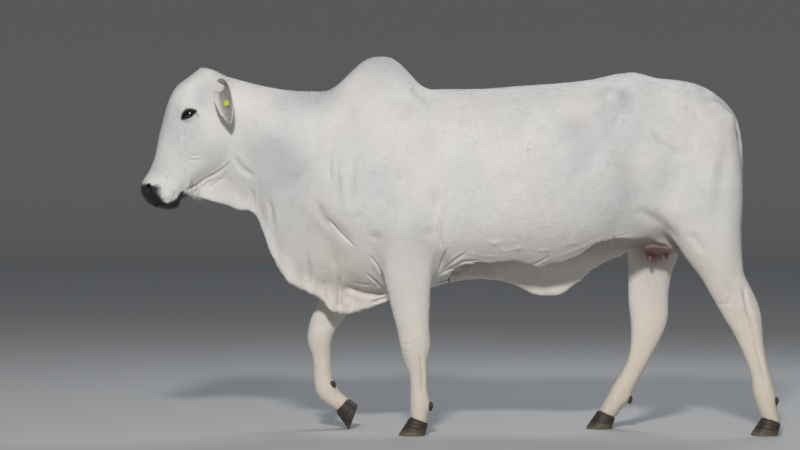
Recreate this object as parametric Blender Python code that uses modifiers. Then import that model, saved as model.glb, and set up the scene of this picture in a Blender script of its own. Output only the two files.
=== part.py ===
"""A life-size still model of a polled Nelore cow, mid-stride, as a museum would show it.

Metres, +Z up. The cow faces -X and its left side faces -Y. The floor is z = 0, and the
origin lies on the floor under the middle of the animal.

The flesh is laid up whole from lofted masses, fused and smoothed, and then parted with
thin cuts into the pieces that a person would name. Eyes, claws, dewclaws, ears, tail and
ear tag are made on their own and seated in it.
"""

import math
import random

import bmesh
import bpy
import numpy as np
from mathutils import Matrix, Vector
from mathutils.bvhtree import BVHTree

# Driving sizes of the whole animal
GAP = 0.0003                # clearance that touching pieces keep
BODY_GRAIN = 0.0080         # voxel at which the masses of the body are fused
BODY_TRIANGLES = 6150       # what the fused body is reduced to before it is parted
HEAD_GRAIN = 0.0050         # the same for the head
HEAD_TRIANGLES = 3900
SMOOTHING = 7               # smoothing passes over fused masses
BLENDING = 60               # further passes where one mass runs into another
SECTION_POINTS = 64         # points round one lofted section

# Where the flesh is parted, in x and z, from the top down
HEAD_CUT = ((-0.850, 1.600), (-0.884, 1.360), (-0.872, 1.200), (-0.872, 1.080), (-0.890, 0.850))
NECK_CUT = ((-0.476, 1.600), (-0.600, 1.100), (-0.724, 0.600))
DEWLAP_TOP = (
    (-1.115, 0.930), (-1.085, 0.945), (-1.030, 0.985), (-0.970, 1.015), (-0.900, 1.015), (-0.800, 0.925),
    (-0.700, 0.770), (-0.600, 0.675), (-0.450, 0.600), (-0.345, 0.560),
)
DEWLAP_HALF = 0.110
FORE_CUT_HEIGHT = 0.585
FORE_CUT_INSIDE = 0.070
HIND_CUT_HEIGHT = 0.655
HUMP_CUT_HEIGHT = 1.388

# The head's own frame: s runs from the poll to the nose, f towards the forehead
POLL = Vector((-0.984, 0.0, 1.376))
HEAD_ALONG = Vector((-1.0, 0.0, -2.0)).normalized()
HEAD_FRONT = Vector((-2.0, 0.0, 1.0)).normalized()

# Eyes and the skin round them
EYE_RADII = (0.0290, 0.0240, 0.0175)             # along the lids, across them and outwards
EYE_PLACE = (0.135, 0.0255, 0.0865)              # s, f and distance from the midline
LID_THICKNESS = 0.0035
EYE_OPENING = (0.046, 0.028)                     # length and height between the lids
EYE_SLANT = math.radians(35)                     # from the head's own length

# Mouth and nostrils, in the head's frame
MOUTH_LINE = ((0.524, -0.004), (0.505, -0.030), (0.488, -0.056), (0.460, -0.078), (0.429, -0.079))
MOUTH_OPENING = 0.0026                           # between the lips
MOUTH_DEPTH = 0.009
NOSTRIL_PLACE = (0.468, 0.042, 0.057)
NOSTRIL_RADII = (0.018, 0.0095, 0.020)

# Ears, given on the right; mirrored for the left
EAR_PATH = ((-0.928, 0.060, 1.374), (-0.922, 0.105, 1.368), (-0.914, 0.146, 1.322), (-0.900, 0.166, 1.226))
EAR_FACES = (-0.50, 0.80, 0.10)
EAR_PROFILE = (                                  # along the ear: half width and half the angle it is rolled through
    (0.00, 0.024, 2.10), (0.15, 0.030, 1.85), (0.30, 0.037, 1.50), (0.45, 0.042, 1.20),
    (0.60, 0.041, 1.00), (0.75, 0.033, 0.85), (0.90, 0.017, 0.70), (1.00, 0.003, 0.60),
)
EAR_THICKNESS = 0.0055

# Ear tag, in the left ear
TAG_ALONG = 0.60
TAG_RADIUS = 0.0130
TAG_THICKNESS = 0.0030
TAG_STUD = 0.0030

# Tail
TAIL_PATH = (
    (0.940, 1.352), (0.990, 1.336), (1.034, 1.312), (1.072, 1.276), (1.098, 1.226), (1.112, 1.160),
    (1.118, 1.080), (1.121, 0.980), (1.122, 0.880), (1.122, 0.780), (1.124, 0.680), (1.128, 0.560),
)
TAIL_RADII = (0.040, 0.036, 0.032, 0.029, 0.027, 0.025, 0.023, 0.021, 0.019, 0.017, 0.0155, 0.0135)
TAIL_CUT = ((1.086, 1.252), (0.42, -0.91))       # where the tail leaves its stump
TAIL_CLEARANCE = 0.0025
SWITCH_TOP = 0.620
SWITCH_END = 0.360
SWITCH_CORE = 0.130         # how far down the core of the switch reaches
SWITCH_BULGE = 0.030        # how far the locks stand from the middle at their fullest
SWITCH_LOCKS = 14
LOCK_WIDTH = 0.0200
LOCK_THICKNESS = 0.0085

# Feet: the middle of the coronet (x, z), distance out, side (-1 left), pitch in degrees,
# and the fetlock (x, z), half its depth and the way, in degrees from straight back, that the dewclaws sit
FEET = {
    "fore_left": ((-0.158, 0.055), 0.150, -1, 0, (-0.154, 0.128), 0.044, -18),
    "fore_right": ((-0.463, 0.090), 0.150, 1, 70, (-0.540, 0.150), 0.046, 38),
    "hind_left": ((1.234, 0.055), 0.150, -1, 0, (1.208, 0.150), 0.045, -18),
    "hind_right": ((0.604, 0.055), 0.150, 1, 0, (0.660, 0.140), 0.045, -30),
}
CLAW_LENGTH = 0.105
CLAW_WIDTH = 0.050
CLAW_TOE = 0.068            # height at the toe
CLAW_HEEL = 0.042
TOE_SLOPE = math.radians(56)
HEEL_SLOPE = math.radians(75)
CLEFT = 0.005               # between the two claws
DEWCLAW_RADII = (0.013, 0.012, 0.019)


def clear_scene():
    for thing in list(bpy.data.objects):
        bpy.data.objects.remove(thing)


def material(name, colour, roughness, metallic=0.0):
    """A plain Principled finish; colour is linear red, green and blue."""
    made = bpy.data.materials.new(name)
    made.use_nodes = True
    shader = made.node_tree.nodes["Principled BSDF"]
    shader.inputs["Base Color"].default_value = (*colour, 1.0)
    shader.inputs["Roughness"].default_value = roughness
    shader.inputs["Metallic"].default_value = metallic
    made.diffuse_color = (*colour, 1.0)
    return made


def smooth_curve(keys, values, at):
    """Values at the places asked for, on a cubic through the keyed values with finite-difference slopes."""
    keys = np.asarray(keys, float)
    values = np.asarray(values, float)
    slope = np.gradient(values, keys, axis=0)
    low = np.clip(np.searchsorted(keys, at, side="right") - 1, 0, len(keys) - 2)
    step = keys[low + 1] - keys[low]
    t = (np.asarray(at) - keys[low]) / step
    if values.ndim > 1:
        t = t[:, None]
        step = step[:, None]
    return (
        (2 * t**3 - 3 * t**2 + 1) * values[low]
        + (t**3 - 2 * t**2 + t) * step * slope[low]
        + (3 * t**2 - 2 * t**3) * values[low + 1]
        + (t**3 - t**2) * step * slope[low + 1]
    )


def object_of(name, mesh):
    made = bpy.data.objects.new(name, mesh)
    bpy.context.scene.collection.objects.link(made)
    return made


def loft(name, rings):
    """A closed skin over rings of equally many points, with a flat cap at each end."""
    rings = np.asarray(rings, float)
    count, around = rings.shape[:2]
    faces = [
        (i * around + j, i * around + (j + 1) % around,
         (i + 1) * around + (j + 1) % around, (i + 1) * around + j)
        for i in range(count - 1) for j in range(around)
    ]
    faces.append(tuple(range(around)))
    faces.append(tuple(range((count - 1) * around, count * around)))
    mesh = bpy.data.meshes.new(name)
    mesh.from_pydata(rings.reshape(-1, 3).tolist(), [], faces)
    shell = bmesh.new()
    shell.from_mesh(mesh)
    bmesh.ops.recalc_face_normals(shell, faces=shell.faces)
    shell.to_mesh(mesh)
    shell.free()
    return object_of(name, mesh)


def oval(half_width, rise, drop, top_power, bottom_power):
    """One section: across and upward offsets, rounder or squarer above and below its widest line."""
    angle = np.linspace(0, 2 * math.pi, SECTION_POINTS, endpoint=False)
    c = np.cos(angle)
    s = np.sin(angle)
    power = np.where(s >= 0, top_power, bottom_power)
    across = half_width * np.sign(c) * np.abs(c) ** (2 / power)
    upward = np.where(s >= 0, rise, drop) * np.sign(s) * np.abs(s) ** (2 / power)
    return across, upward


def mass(name, rows, sections, origin=Vector((0, 0, 0)), along=Vector((1, 0, 0)), up=Vector((0, 0, 1))):
    """A body mass lofted along one axis.

    Each row: distance along, top, bottom, height of the widest line, half width, and the powers of
    the section above and below that line.
    """
    rows = np.asarray(rows, float)
    at = np.linspace(rows[0, 0], rows[-1, 0], sections)
    table = smooth_curve(rows[:, 0], rows[:, 1:], at)
    rings = []
    for distance, (top, bottom, widest, half, top_power, bottom_power) in zip(at, table):
        across, upward = oval(half, top - widest, widest - bottom, top_power, bottom_power)
        centre = np.array(origin + along * distance)
        ring = centre + (widest + upward)[:, None] * np.array(up) + across[:, None] * np.array((0, 1, 0))
        rings.append(ring)
    return loft(name, rings)


def limb(name, rows, side=1, sections=48, around=SECTION_POINTS):
    """A limb lofted across its own path.

    Each row: x, z, distance from the midline, half depth, half width.
    """
    rows = np.asarray(rows, float)
    path = rows[:, [0, 1]]
    run = np.concatenate([[0], np.cumsum(np.hypot(*np.diff(path, axis=0).T))])
    at = np.linspace(0, run[-1], sections)
    table = smooth_curve(run, rows, at)
    heading = np.gradient(table[:, :2], at, axis=0)
    heading /= np.linalg.norm(heading, axis=1)[:, None]
    angle = np.linspace(0, 2 * math.pi, around, endpoint=False)
    rings = []
    for (x, z, out, deep, wide), (hx, hz) in zip(table, heading):
        ring = np.empty((around, 3))
        ring[:, 0] = x - hz * deep * np.cos(angle)
        ring[:, 1] = side * out + wide * np.sin(angle)
        ring[:, 2] = z + hx * deep * np.cos(angle)
        rings.append(ring)
    return loft(name, rings)


def ball(name, centre, radii, tilt=0.0, subdivisions=3):
    """An ellipsoid; tilt in degrees leans its top towards the tail."""
    shape = bmesh.new()
    bmesh.ops.create_icosphere(shape, subdivisions=subdivisions, radius=1.0)
    place = Matrix.Translation(centre) @ Matrix.Rotation(math.radians(tilt), 4, "Y") @ Matrix.Diagonal((*radii, 1))
    bmesh.ops.transform(shape, matrix=place, verts=shape.verts)
    mesh = bpy.data.meshes.new(name)
    shape.to_mesh(mesh)
    shape.free()
    return object_of(name, mesh)


def head_point(s, f, y=0.0):
    return POLL + HEAD_ALONG * s + HEAD_FRONT * f + Vector((0, y, 0))


def joined(name, parts):
    """One mesh object holding all the parts' faces; the parts are removed."""
    whole = bmesh.new()
    for part in parts:
        whole.from_mesh(part.data)
    mesh = bpy.data.meshes.new(name)
    whole.to_mesh(mesh)
    whole.free()
    for part in parts:
        bpy.data.objects.remove(part)
    return object_of(name, mesh)


def baked(thing):
    """Replaces the object's mesh with what its modifiers make of it."""
    graph = bpy.context.evaluated_depsgraph_get()
    mesh = bpy.data.meshes.new_from_object(thing.evaluated_get(graph))
    thing.modifiers.clear()
    thing.data = mesh
    return thing


def largest_shell(thing):
    """Drops all but the largest closed surface."""
    shape = bmesh.new()
    shape.from_mesh(thing.data)
    shape.faces.ensure_lookup_table()
    unseen = set(shape.faces)
    shells = []
    while unseen:
        front = [unseen.pop()]
        shell = list(front)
        while front:
            face = front.pop()
            for edge in face.edges:
                for other in edge.link_faces:
                    if other in unseen:
                        unseen.remove(other)
                        front.append(other)
                        shell.append(other)
        shells.append(shell)
    shells.sort(key=lambda shell: sum(face.calc_area() for face in shell))
    doomed = [face for shell in shells[:-1] for face in shell]
    bmesh.ops.delete(shape, geom=doomed, context="FACES")
    bmesh.ops.triangulate(shape, faces=shape.faces)
    shape.to_mesh(thing.data)
    shape.free()
    return thing


def combine(thing, other, operation, solver="EXACT"):
    """Applies one Boolean to the object and leaves its largest closed surface."""
    step = thing.modifiers.new(operation.lower(), "BOOLEAN")
    step.operation = operation
    step.object = other
    step.solver = solver
    baked(thing)
    return largest_shell(thing)


def copied(thing, name):
    made = object_of(name, thing.data.copy())
    return made


def removed(*things):
    for thing in things:
        bpy.data.objects.remove(thing)


def block(name, low, high):
    """A cutter with square corners."""
    shape = bmesh.new()
    bmesh.ops.create_cube(shape, size=1.0)
    low = Vector(low)
    high = Vector(high)
    place = Matrix.Translation((low + high) / 2) @ Matrix.Diagonal((*(high - low), 1))
    bmesh.ops.transform(shape, matrix=place, verts=shape.verts)
    mesh = bpy.data.meshes.new(name)
    shape.to_mesh(mesh)
    shape.free()
    return object_of(name, mesh)


def trimmed(thing, point, away):
    """Cuts the object with a plane, drops the side that 'away' points to, and closes the cut."""
    shape = bmesh.new()
    shape.from_mesh(thing.data)
    geometry = shape.verts[:] + shape.edges[:] + shape.faces[:]
    cut = bmesh.ops.bisect_plane(shape, geom=geometry, plane_co=point, plane_no=away, clear_outer=True)
    rim = [edge for edge in cut["geom_cut"] if isinstance(edge, bmesh.types.BMEdge)]
    bmesh.ops.holes_fill(shape, edges=rim, sides=0)
    bmesh.ops.triangulate(shape, faces=shape.faces)
    bmesh.ops.recalc_face_normals(shape, faces=shape.faces)
    shape.to_mesh(thing.data)
    shape.free()
    return thing


# The trunk: x, top, bottom, height of the widest line, half width, power above, power below
TRUNK = (
    (-0.560, 1.330, 0.740, 1.020, 0.105, 1.8, 2.0),
    (-0.500, 1.350, 0.650, 0.985, 0.155, 1.8, 2.0),
    (-0.420, 1.362, 0.590, 0.960, 0.200, 1.7, 2.0),
    (-0.312, 1.366, 0.565, 0.940, 0.232, 1.7, 2.0),
    (-0.192, 1.370, 0.575, 0.920, 0.250, 1.7, 2.1),
    (-0.072, 1.374, 0.595, 0.930, 0.272, 1.8, 2.1),
    (0.088, 1.374, 0.615, 0.935, 0.305, 1.9, 2.1),
    (0.248, 1.386, 0.612, 0.940, 0.330, 2.0, 2.1),
    (0.408, 1.397, 0.625, 0.950, 0.330, 2.1, 2.1),
    (0.528, 1.410, 0.668, 0.970, 0.308, 2.1, 2.1),
    (0.648, 1.436, 0.715, 1.020, 0.272, 2.1, 2.0),
    (0.708, 1.440, 0.735, 1.040, 0.258, 2.0, 2.0),
    (0.788, 1.418, 0.750, 1.060, 0.245, 2.0, 2.0),
    (0.888, 1.408, 0.780, 1.080, 0.228, 2.0, 2.0),
    (0.968, 1.388, 0.800, 1.080, 0.200, 2.0, 2.0),
    (1.036, 1.345, 0.850, 1.100, 0.145, 2.0, 2.0),
    (1.076, 1.285, 0.930, 1.110, 0.080, 2.0, 2.0),
)

# The neck, on the same terms
NECK = (
    (-0.980, 1.430, 1.060, 1.300, 0.068, 2.0, 1.6),
    (-0.930, 1.422, 1.000, 1.280, 0.082, 2.0, 1.5),
    (-0.880, 1.412, 0.950, 1.255, 0.092, 1.9, 1.4),
    (-0.792, 1.390, 0.880, 1.210, 0.106, 1.8, 1.3),
    (-0.742, 1.380, 0.760, 1.180, 0.117, 1.8, 1.3),
    (-0.672, 1.370, 0.660, 1.130, 0.132, 1.7, 1.3),
    (-0.552, 1.366, 0.590, 1.060, 0.165, 1.7, 1.4),
    (-0.432, 1.362, 0.560, 1.000, 0.200, 1.7, 1.6),
)

# The hump over the withers: x and how far it stands over the back
HUMP = (
    (-0.548, 0.000), (-0.512, 0.008), (-0.472, 0.038), (-0.432, 0.078), (-0.392, 0.114),
    (-0.352, 0.134), (-0.312, 0.139), (-0.272, 0.134), (-0.232, 0.108), (-0.192, 0.066),
    (-0.152, 0.022), (-0.112, 0.000),
)
HUMP_SPREAD = 0.085         # half its breadth, where it has lost most of its height

# Swellings and hollows of the body, on both sides: centre, reach each way, lean in degrees, push.
# A positive middle push goes outwards; the reach is where a form has lost two thirds of its height.
BODY_FORMS = (
    ((-0.370, 0.20, 1.090), (0.085, 0.20, 0.200), 18, (0, 0.020, 0)),          # shoulder blade
    ((-0.500, 0.17, 0.870), (0.080, 0.15, 0.100), -10, (-0.012, 0.018, 0)),    # point of the shoulder
    ((-0.245, 0.22, 0.850), (0.120, 0.15, 0.110), -20, (0, 0.026, 0)),         # upper arm
    ((-0.080, 0.26, 0.960), (0.045, 0.20, 0.200), 8, (0, -0.014, 0)),          # behind the upper arm
    ((-0.510, 0.18, 1.120), (0.045, 0.20, 0.170), 14, (0, -0.012, 0)),         # before the shoulder blade
    ((0.596, 0.21, 1.335), (0.065, 0.08, 0.045), 0, (0, 0.030, 0.020)),        # hook
    ((0.470, 0.27, 1.230), (0.095, 0.15, 0.085), 0, (0, -0.026, 0)),           # hollow before the hook
    ((0.800, 0.21, 1.320), (0.110, 0.10, 0.070), -14, (0, -0.016, 0)),         # between hook and pin
    ((1.066, 0.09, 1.245), (0.050, 0.06, 0.050), 0, (0.022, 0.020, 0.010)),    # pin
    ((0.900, 0.22, 1.040), (0.140, 0.15, 0.190), 0, (0, 0.016, 0)),            # thigh
    ((0.800, 0.22, 0.860), (0.070, 0.12, 0.080), -25, (0, 0.018, 0)),          # stifle
    ((0.690, 0.27, 0.960), (0.050, 0.15, 0.140), -18, (0, -0.020, 0)),         # flank, before the thigh
    ((1.020, 0.20, 0.960), (0.035, 0.12, 0.170), 6, (0, -0.008, 0)),           # groove down the buttock
    ((0.640, 0.16, 0.740), (0.080, 0.08, 0.050), -20, (0, 0.010, -0.018)),     # fold of the flank
)

# Where masses run into one another and are blended: centre and reach, on both sides
BLENDS = (
    ((-0.240, 0.20, 0.800), (0.240, 0.16, 0.230)),
    ((-0.480, 0.15, 0.900), (0.160, 0.18, 0.300)),
    ((0.830, 0.18, 1.000), (0.260, 0.16, 0.330)),
    ((1.000, 0.08, 0.820), (0.160, 0.14, 0.160)),
    ((0.780, 0.08, 0.760), (0.200, 0.14, 0.120)),
    ((-0.860, 0.05, 1.130), (0.110, 0.12, 0.140)),
    ((-0.930, 0.07, 1.330), (0.050, 0.08, 0.090)),
)

# The head: s, front, back, the widest line, half width, power in front, power behind
HEAD = (
    (-0.066, 0.030, -0.045, -0.010, 0.026, 2.0, 2.0),
    (-0.058, 0.064, -0.075, 0.000, 0.046, 2.0, 2.0),
    (-0.036, 0.082, -0.098, 0.005, 0.062, 2.1, 2.0),
    (0.000, 0.100, -0.118, 0.010, 0.076, 2.3, 2.0),
    (0.054, 0.127, -0.140, 0.020, 0.088, 2.4, 2.2),
    (0.100, 0.133, -0.158, 0.024, 0.094, 2.5, 2.4),
    (0.150, 0.128, -0.174, 0.020, 0.092, 2.4, 2.6),
    (0.200, 0.118, -0.186, 0.000, 0.085, 2.2, 2.6),
    (0.240, 0.110, -0.184, -0.010, 0.079, 2.1, 2.4),
    (0.295, 0.096, -0.162, -0.010, 0.072, 2.1, 2.2),
    (0.354, 0.081, -0.124, -0.010, 0.062, 2.1, 2.0),
    (0.404, 0.077, -0.102, -0.008, 0.057, 2.2, 2.0),
    (0.440, 0.081, -0.092, -0.006, 0.060, 2.3, 2.2),
    (0.475, 0.081, -0.086, -0.004, 0.062, 2.3, 2.4),
    (0.500, 0.068, -0.078, -0.004, 0.056, 2.2, 2.4),
    (0.517, 0.047, -0.056, -0.002, 0.044, 2.1, 2.2),
    (0.528, 0.022, -0.022, 0.000, 0.022, 2.0, 2.0),
)

# Swellings and hollows of the head in its own frame: s, f, distance out; reach; push the same way
HEAD_FORMS = (
    ((0.108, 0.058, 0.090), (0.040, 0.024, 0.040), (0, 0.004, 0.010)),         # brow
    ((0.030, 0.035, 0.080), (0.035, 0.035, 0.040), (0, 0, -0.010)),            # temple
    ((0.225, 0.002, 0.075), (0.070, 0.020, 0.040), (0, 0, 0.008)),             # cheekbone
    ((0.185, -0.105, 0.080), (0.062, 0.055, 0.050), (0, 0, 0.012)),            # jaw muscle
    ((0.300, -0.070, 0.065), (0.045, 0.040, 0.050), (0, 0, -0.009)),           # before the jaw muscle
    ((0.300, 0.045, 0.065), (0.060, 0.028, 0.040), (0, 0, -0.005)),            # side of the nose
    ((0.460, 0.035, 0.055), (0.034, 0.034, 0.040), (0.002, 0.002, 0.011)),     # wing of the nostril
    ((0.462, -0.048, 0.050), (0.040, 0.022, 0.040), (0, -0.002, 0.008)),       # upper lip
    ((0.418, -0.078, 0.050), (0.022, 0.014, 0.040), (0, 0, -0.008)),           # corner of the mouth
    ((0.485, -0.080, 0.020), (0.028, 0.016, 0.030), (0.002, -0.006, 0.004)),   # chin
    ((-0.020, -0.050, 0.065), (0.040, 0.032, 0.050), (0, 0, 0.010)),           # root of the ear
)

# Where the head is reduced less than elsewhere: s, f, distance out and reach
HEAD_FINE = (
    ((0.135, 0.026, 0.095), (0.050, 0.050, 0.040)),                            # eye
    ((0.480, 0.000, 0.040), (0.060, 0.090, 0.060)),                            # muzzle
)
FINENESS = 0.0006           # how strongly those places are spared

# Teats: x and distance out; they hang from the udder
TEATS = ((0.768, 0.032), (0.836, 0.030))
TEAT_TOP = 0.705
TEAT_END = 0.640
TEAT_RADIUS = 0.0105

# The loose skin under the midline, from the chin to the navel: x, lower edge, and where it sinks in above
KEEL = (
    (-1.092, 0.942, 0.985), (-1.040, 0.930, 1.020), (-0.972, 0.910, 1.070), (-0.912, 0.895, 1.110),
    (-0.872, 0.879, 1.120), (-0.838, 0.880, 1.100), (-0.808, 0.852, 1.060), (-0.784, 0.790, 1.020),
    (-0.752, 0.704, 0.980), (-0.712, 0.628, 0.930), (-0.672, 0.582, 0.880), (-0.632, 0.563, 0.830),
    (-0.584, 0.540, 0.780), (-0.548, 0.518, 0.740), (-0.512, 0.474, 0.720), (-0.472, 0.463, 0.700),
    (-0.412, 0.468, 0.680), (-0.352, 0.487, 0.660), (-0.280, 0.518, 0.640), (-0.212, 0.543, 0.640),
    (-0.112, 0.568, 0.650), (0.008, 0.603, 0.660), (0.068, 0.608, 0.660), (0.128, 0.605, 0.660),
    (0.188, 0.594, 0.660), (0.248, 0.570, 0.660), (0.294, 0.546, 0.660), (0.328, 0.538, 0.665),
    (0.368, 0.540, 0.670), (0.408, 0.540, 0.680), (0.450, 0.568, 0.690), (0.496, 0.602, 0.710),
    (0.548, 0.646, 0.730), (0.608, 0.683, 0.760), (0.668, 0.702, 0.780),
)
KEEL_EDGE = 0.012           # half thickness at the free edge
KEEL_SPREAD = 0.22          # how fast it thickens upwards
PLEAT_LENGTH = 0.082        # from one hanging pleat to the next
PLEAT_SWING = 0.011         # how far a pleat swings to each side
PLEATED = (-0.86, -0.33)    # the stretch that hangs in pleats

# The legs: x, z, distance from the midline, half depth, half width
LEG_FORE_LEFT = (
    (-0.232, 0.900, 0.170, 0.110, 0.070), (-0.206, 0.800, 0.180, 0.118, 0.070),
    (-0.204, 0.728, 0.178, 0.115, 0.065), (-0.200, 0.648, 0.172, 0.104, 0.059),
    (-0.196, 0.568, 0.165, 0.090, 0.053), (-0.188, 0.488, 0.158, 0.078, 0.048),
    (-0.178, 0.408, 0.153, 0.067, 0.046), (-0.171, 0.350, 0.150, 0.064, 0.050),
    (-0.170, 0.300, 0.150, 0.053, 0.045), (-0.161, 0.245, 0.150, 0.040, 0.034),
    (-0.157, 0.176, 0.150, 0.038, 0.032), (-0.154, 0.125, 0.150, 0.044, 0.040),
    (-0.155, 0.090, 0.150, 0.040, 0.045), (-0.157, 0.055, 0.150, 0.038, 0.050),
    (-0.158, 0.020, 0.150, 0.037, 0.050),
)
LEG_FORE_RIGHT = (
    (-0.330, 0.880, 0.170, 0.110, 0.070), (-0.352, 0.780, 0.175, 0.112, 0.068),
    (-0.396, 0.680, 0.170, 0.100, 0.060), (-0.452, 0.580, 0.162, 0.084, 0.053),
    (-0.512, 0.480, 0.155, 0.068, 0.048), (-0.550, 0.405, 0.150, 0.058, 0.047),
    (-0.559, 0.356, 0.150, 0.054, 0.049), (-0.552, 0.305, 0.150, 0.043, 0.040),
    (-0.548, 0.248, 0.150, 0.039, 0.034), (-0.545, 0.196, 0.150, 0.042, 0.034),
    (-0.530, 0.150, 0.150, 0.046, 0.040), (-0.500, 0.120, 0.150, 0.041, 0.043),
    (-0.464, 0.094, 0.150, 0.037, 0.049), (-0.434, 0.072, 0.150, 0.037, 0.050),
)
LEG_HIND_LEFT = (
    (0.930, 1.300, 0.085, 0.110, 0.070), (0.936, 1.210, 0.115, 0.152, 0.085),
    (0.942, 1.120, 0.140, 0.170, 0.096), (0.944, 1.040, 0.150, 0.175, 0.100),
    (0.948, 0.960, 0.160, 0.175, 0.100), (0.966, 0.850, 0.168, 0.158, 0.092),
    (0.998, 0.750, 0.170, 0.124, 0.080), (1.026, 0.680, 0.168, 0.100, 0.068),
    (1.050, 0.612, 0.165, 0.083, 0.055), (1.084, 0.548, 0.160, 0.080, 0.047),
    (1.112, 0.496, 0.155, 0.078, 0.044), (1.132, 0.448, 0.152, 0.070, 0.043),
    (1.152, 0.376, 0.150, 0.054, 0.037), (1.172, 0.308, 0.150, 0.045, 0.034),
    (1.192, 0.236, 0.150, 0.041, 0.033), (1.207, 0.160, 0.150, 0.047, 0.041),
    (1.220, 0.105, 0.150, 0.041, 0.044), (1.234, 0.055, 0.150, 0.038, 0.050),
    (1.240, 0.020, 0.150, 0.037, 0.050),
)
LEG_HIND_RIGHT = (
    (0.930, 1.300, 0.085, 0.110, 0.070), (0.930, 1.210, 0.115, 0.152, 0.085),
    (0.916, 1.120, 0.140, 0.170, 0.096), (0.884, 1.020, 0.152, 0.175, 0.100),
    (0.846, 0.910, 0.162, 0.168, 0.098), (0.808, 0.800, 0.170, 0.132, 0.085),
    (0.792, 0.700, 0.168, 0.106, 0.070), (0.780, 0.610, 0.165, 0.091, 0.055),
    (0.776, 0.530, 0.160, 0.087, 0.048), (0.779, 0.458, 0.155, 0.083, 0.044),
    (0.768, 0.388, 0.152, 0.068, 0.042), (0.748, 0.320, 0.150, 0.052, 0.036),
    (0.724, 0.256, 0.150, 0.043, 0.034), (0.698, 0.208, 0.150, 0.041, 0.034),
    (0.672, 0.160, 0.150, 0.045, 0.041), (0.638, 0.105, 0.150, 0.041, 0.044),
    (0.606, 0.055, 0.150, 0.038, 0.050), (0.590, 0.022, 0.150, 0.037, 0.050),
)


def keel():
    """The dewlap and navel fold: a thin hanging sheet with a round lower edge and standing pleats."""
    rows = np.asarray(KEEL)
    at = np.linspace(rows[0, 0], rows[-1, 0], 220)
    table = smooth_curve(rows[:, 0], rows[:, 1:], at)
    steps = 14
    angle = np.linspace(0, math.pi, 7)[1:-1]
    ramp = 0.12
    rings = []
    for x, (edge, top) in zip(at, table):
        height = np.linspace(0, 1, steps) ** 1.4 * (top - edge - KEEL_EDGE)
        half = KEEL_EDGE + KEEL_SPREAD * height**1.6
        side = np.column_stack([half, edge + KEEL_EDGE + height])
        curl = np.column_stack([KEEL_EDGE * np.cos(math.pi + angle), edge + KEEL_EDGE * (1 - np.sin(angle))])
        outline = np.vstack([side[::-1] * (-1, 1), curl, side])
        fade = np.clip(min(x - PLEATED[0], PLEATED[1] - x) / ramp, 0, 1)
        near_edge = np.clip(1 - (outline[:, 1] - edge) / 0.24, 0, 1) ** 1.2
        swing = PLEAT_SWING * fade * near_edge * math.sin(2 * math.pi * x / PLEAT_LENGTH)
        rings.append(np.column_stack([np.full(len(outline), x), outline[:, 0] + swing, outline[:, 1]]))
    return loft("keel", rings)


def body_masses():
    """Every mass of the body behind the head, overlapping, before it is fused."""
    parts = [mass("trunk", TRUNK, 90), mass("neck", NECK, 50), keel()]
    parts.append(limb("fore_left", LEG_FORE_LEFT, -1))
    parts.append(limb("fore_right", LEG_FORE_RIGHT, 1))
    parts.append(limb("hind_left", LEG_HIND_LEFT, -1))
    parts.append(limb("hind_right", LEG_HIND_RIGHT, 1))
    stump = [(x, z, 0.0, radius, radius) for (x, z), radius in zip(TAIL_PATH[:5], TAIL_RADII)]
    parts.append(limb("tail_stump", stump))
    parts.append(ball("udder", (0.800, 0.0, 0.745), (0.105, 0.095, 0.062), 12))
    return parts


def eye_frame(side):
    """The middle of the eye, and the directions along the lids, across them and outwards."""
    s, f, out = EYE_PLACE
    centre = head_point(s, f, side * out)
    along = HEAD_ALONG * math.cos(EYE_SLANT) + HEAD_FRONT * math.sin(EYE_SLANT)
    across = HEAD_ALONG * -math.sin(EYE_SLANT) + HEAD_FRONT * math.cos(EYE_SLANT)
    return centre, along, across, Vector((0, side, 0))


def eyeball(side, name, grow=0.0):
    """The eye as a flattened ball, of which the lids leave only the front in sight."""
    centre, along, across, outward = eye_frame(side)
    made = ball(name, (0, 0, 0), [radius + grow for radius in EYE_RADII])
    made.data.transform(Matrix.Translation(centre) @ Matrix((along, across, outward)).transposed().to_4x4())
    if side < 0:
        made.data.flip_normals()
    return made


def head_masses():
    """The masses of the head, with the neck that it runs into."""
    parts = [mass("head", HEAD, 90, POLL, HEAD_ALONG, HEAD_FRONT), mass("neck", NECK, 50), keel()]
    parts += [eyeball(side, "lids", LID_THICKNESS) for side in (1, -1)]
    return parts


def falloff(co, centre, reach, lean=0.0):
    """1 at the centre, dying away as a bell with the given reach; lean tips its long axis to the tail."""
    offset = co - np.array(centre)
    turn = math.radians(lean)
    x = offset[:, 0] * math.cos(turn) - offset[:, 2] * math.sin(turn)
    z = offset[:, 0] * math.sin(turn) + offset[:, 2] * math.cos(turn)
    return np.exp(-((x / reach[0]) ** 2 + (offset[:, 1] / reach[1]) ** 2 + (z / reach[2]) ** 2))


def points_of(thing):
    co = np.empty(len(thing.data.vertices) * 3)
    thing.data.vertices.foreach_get("co", co)
    return co.reshape(-1, 3)


def set_points(thing, co):
    thing.data.vertices.foreach_set("co", co.ravel())
    thing.data.update()


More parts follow.
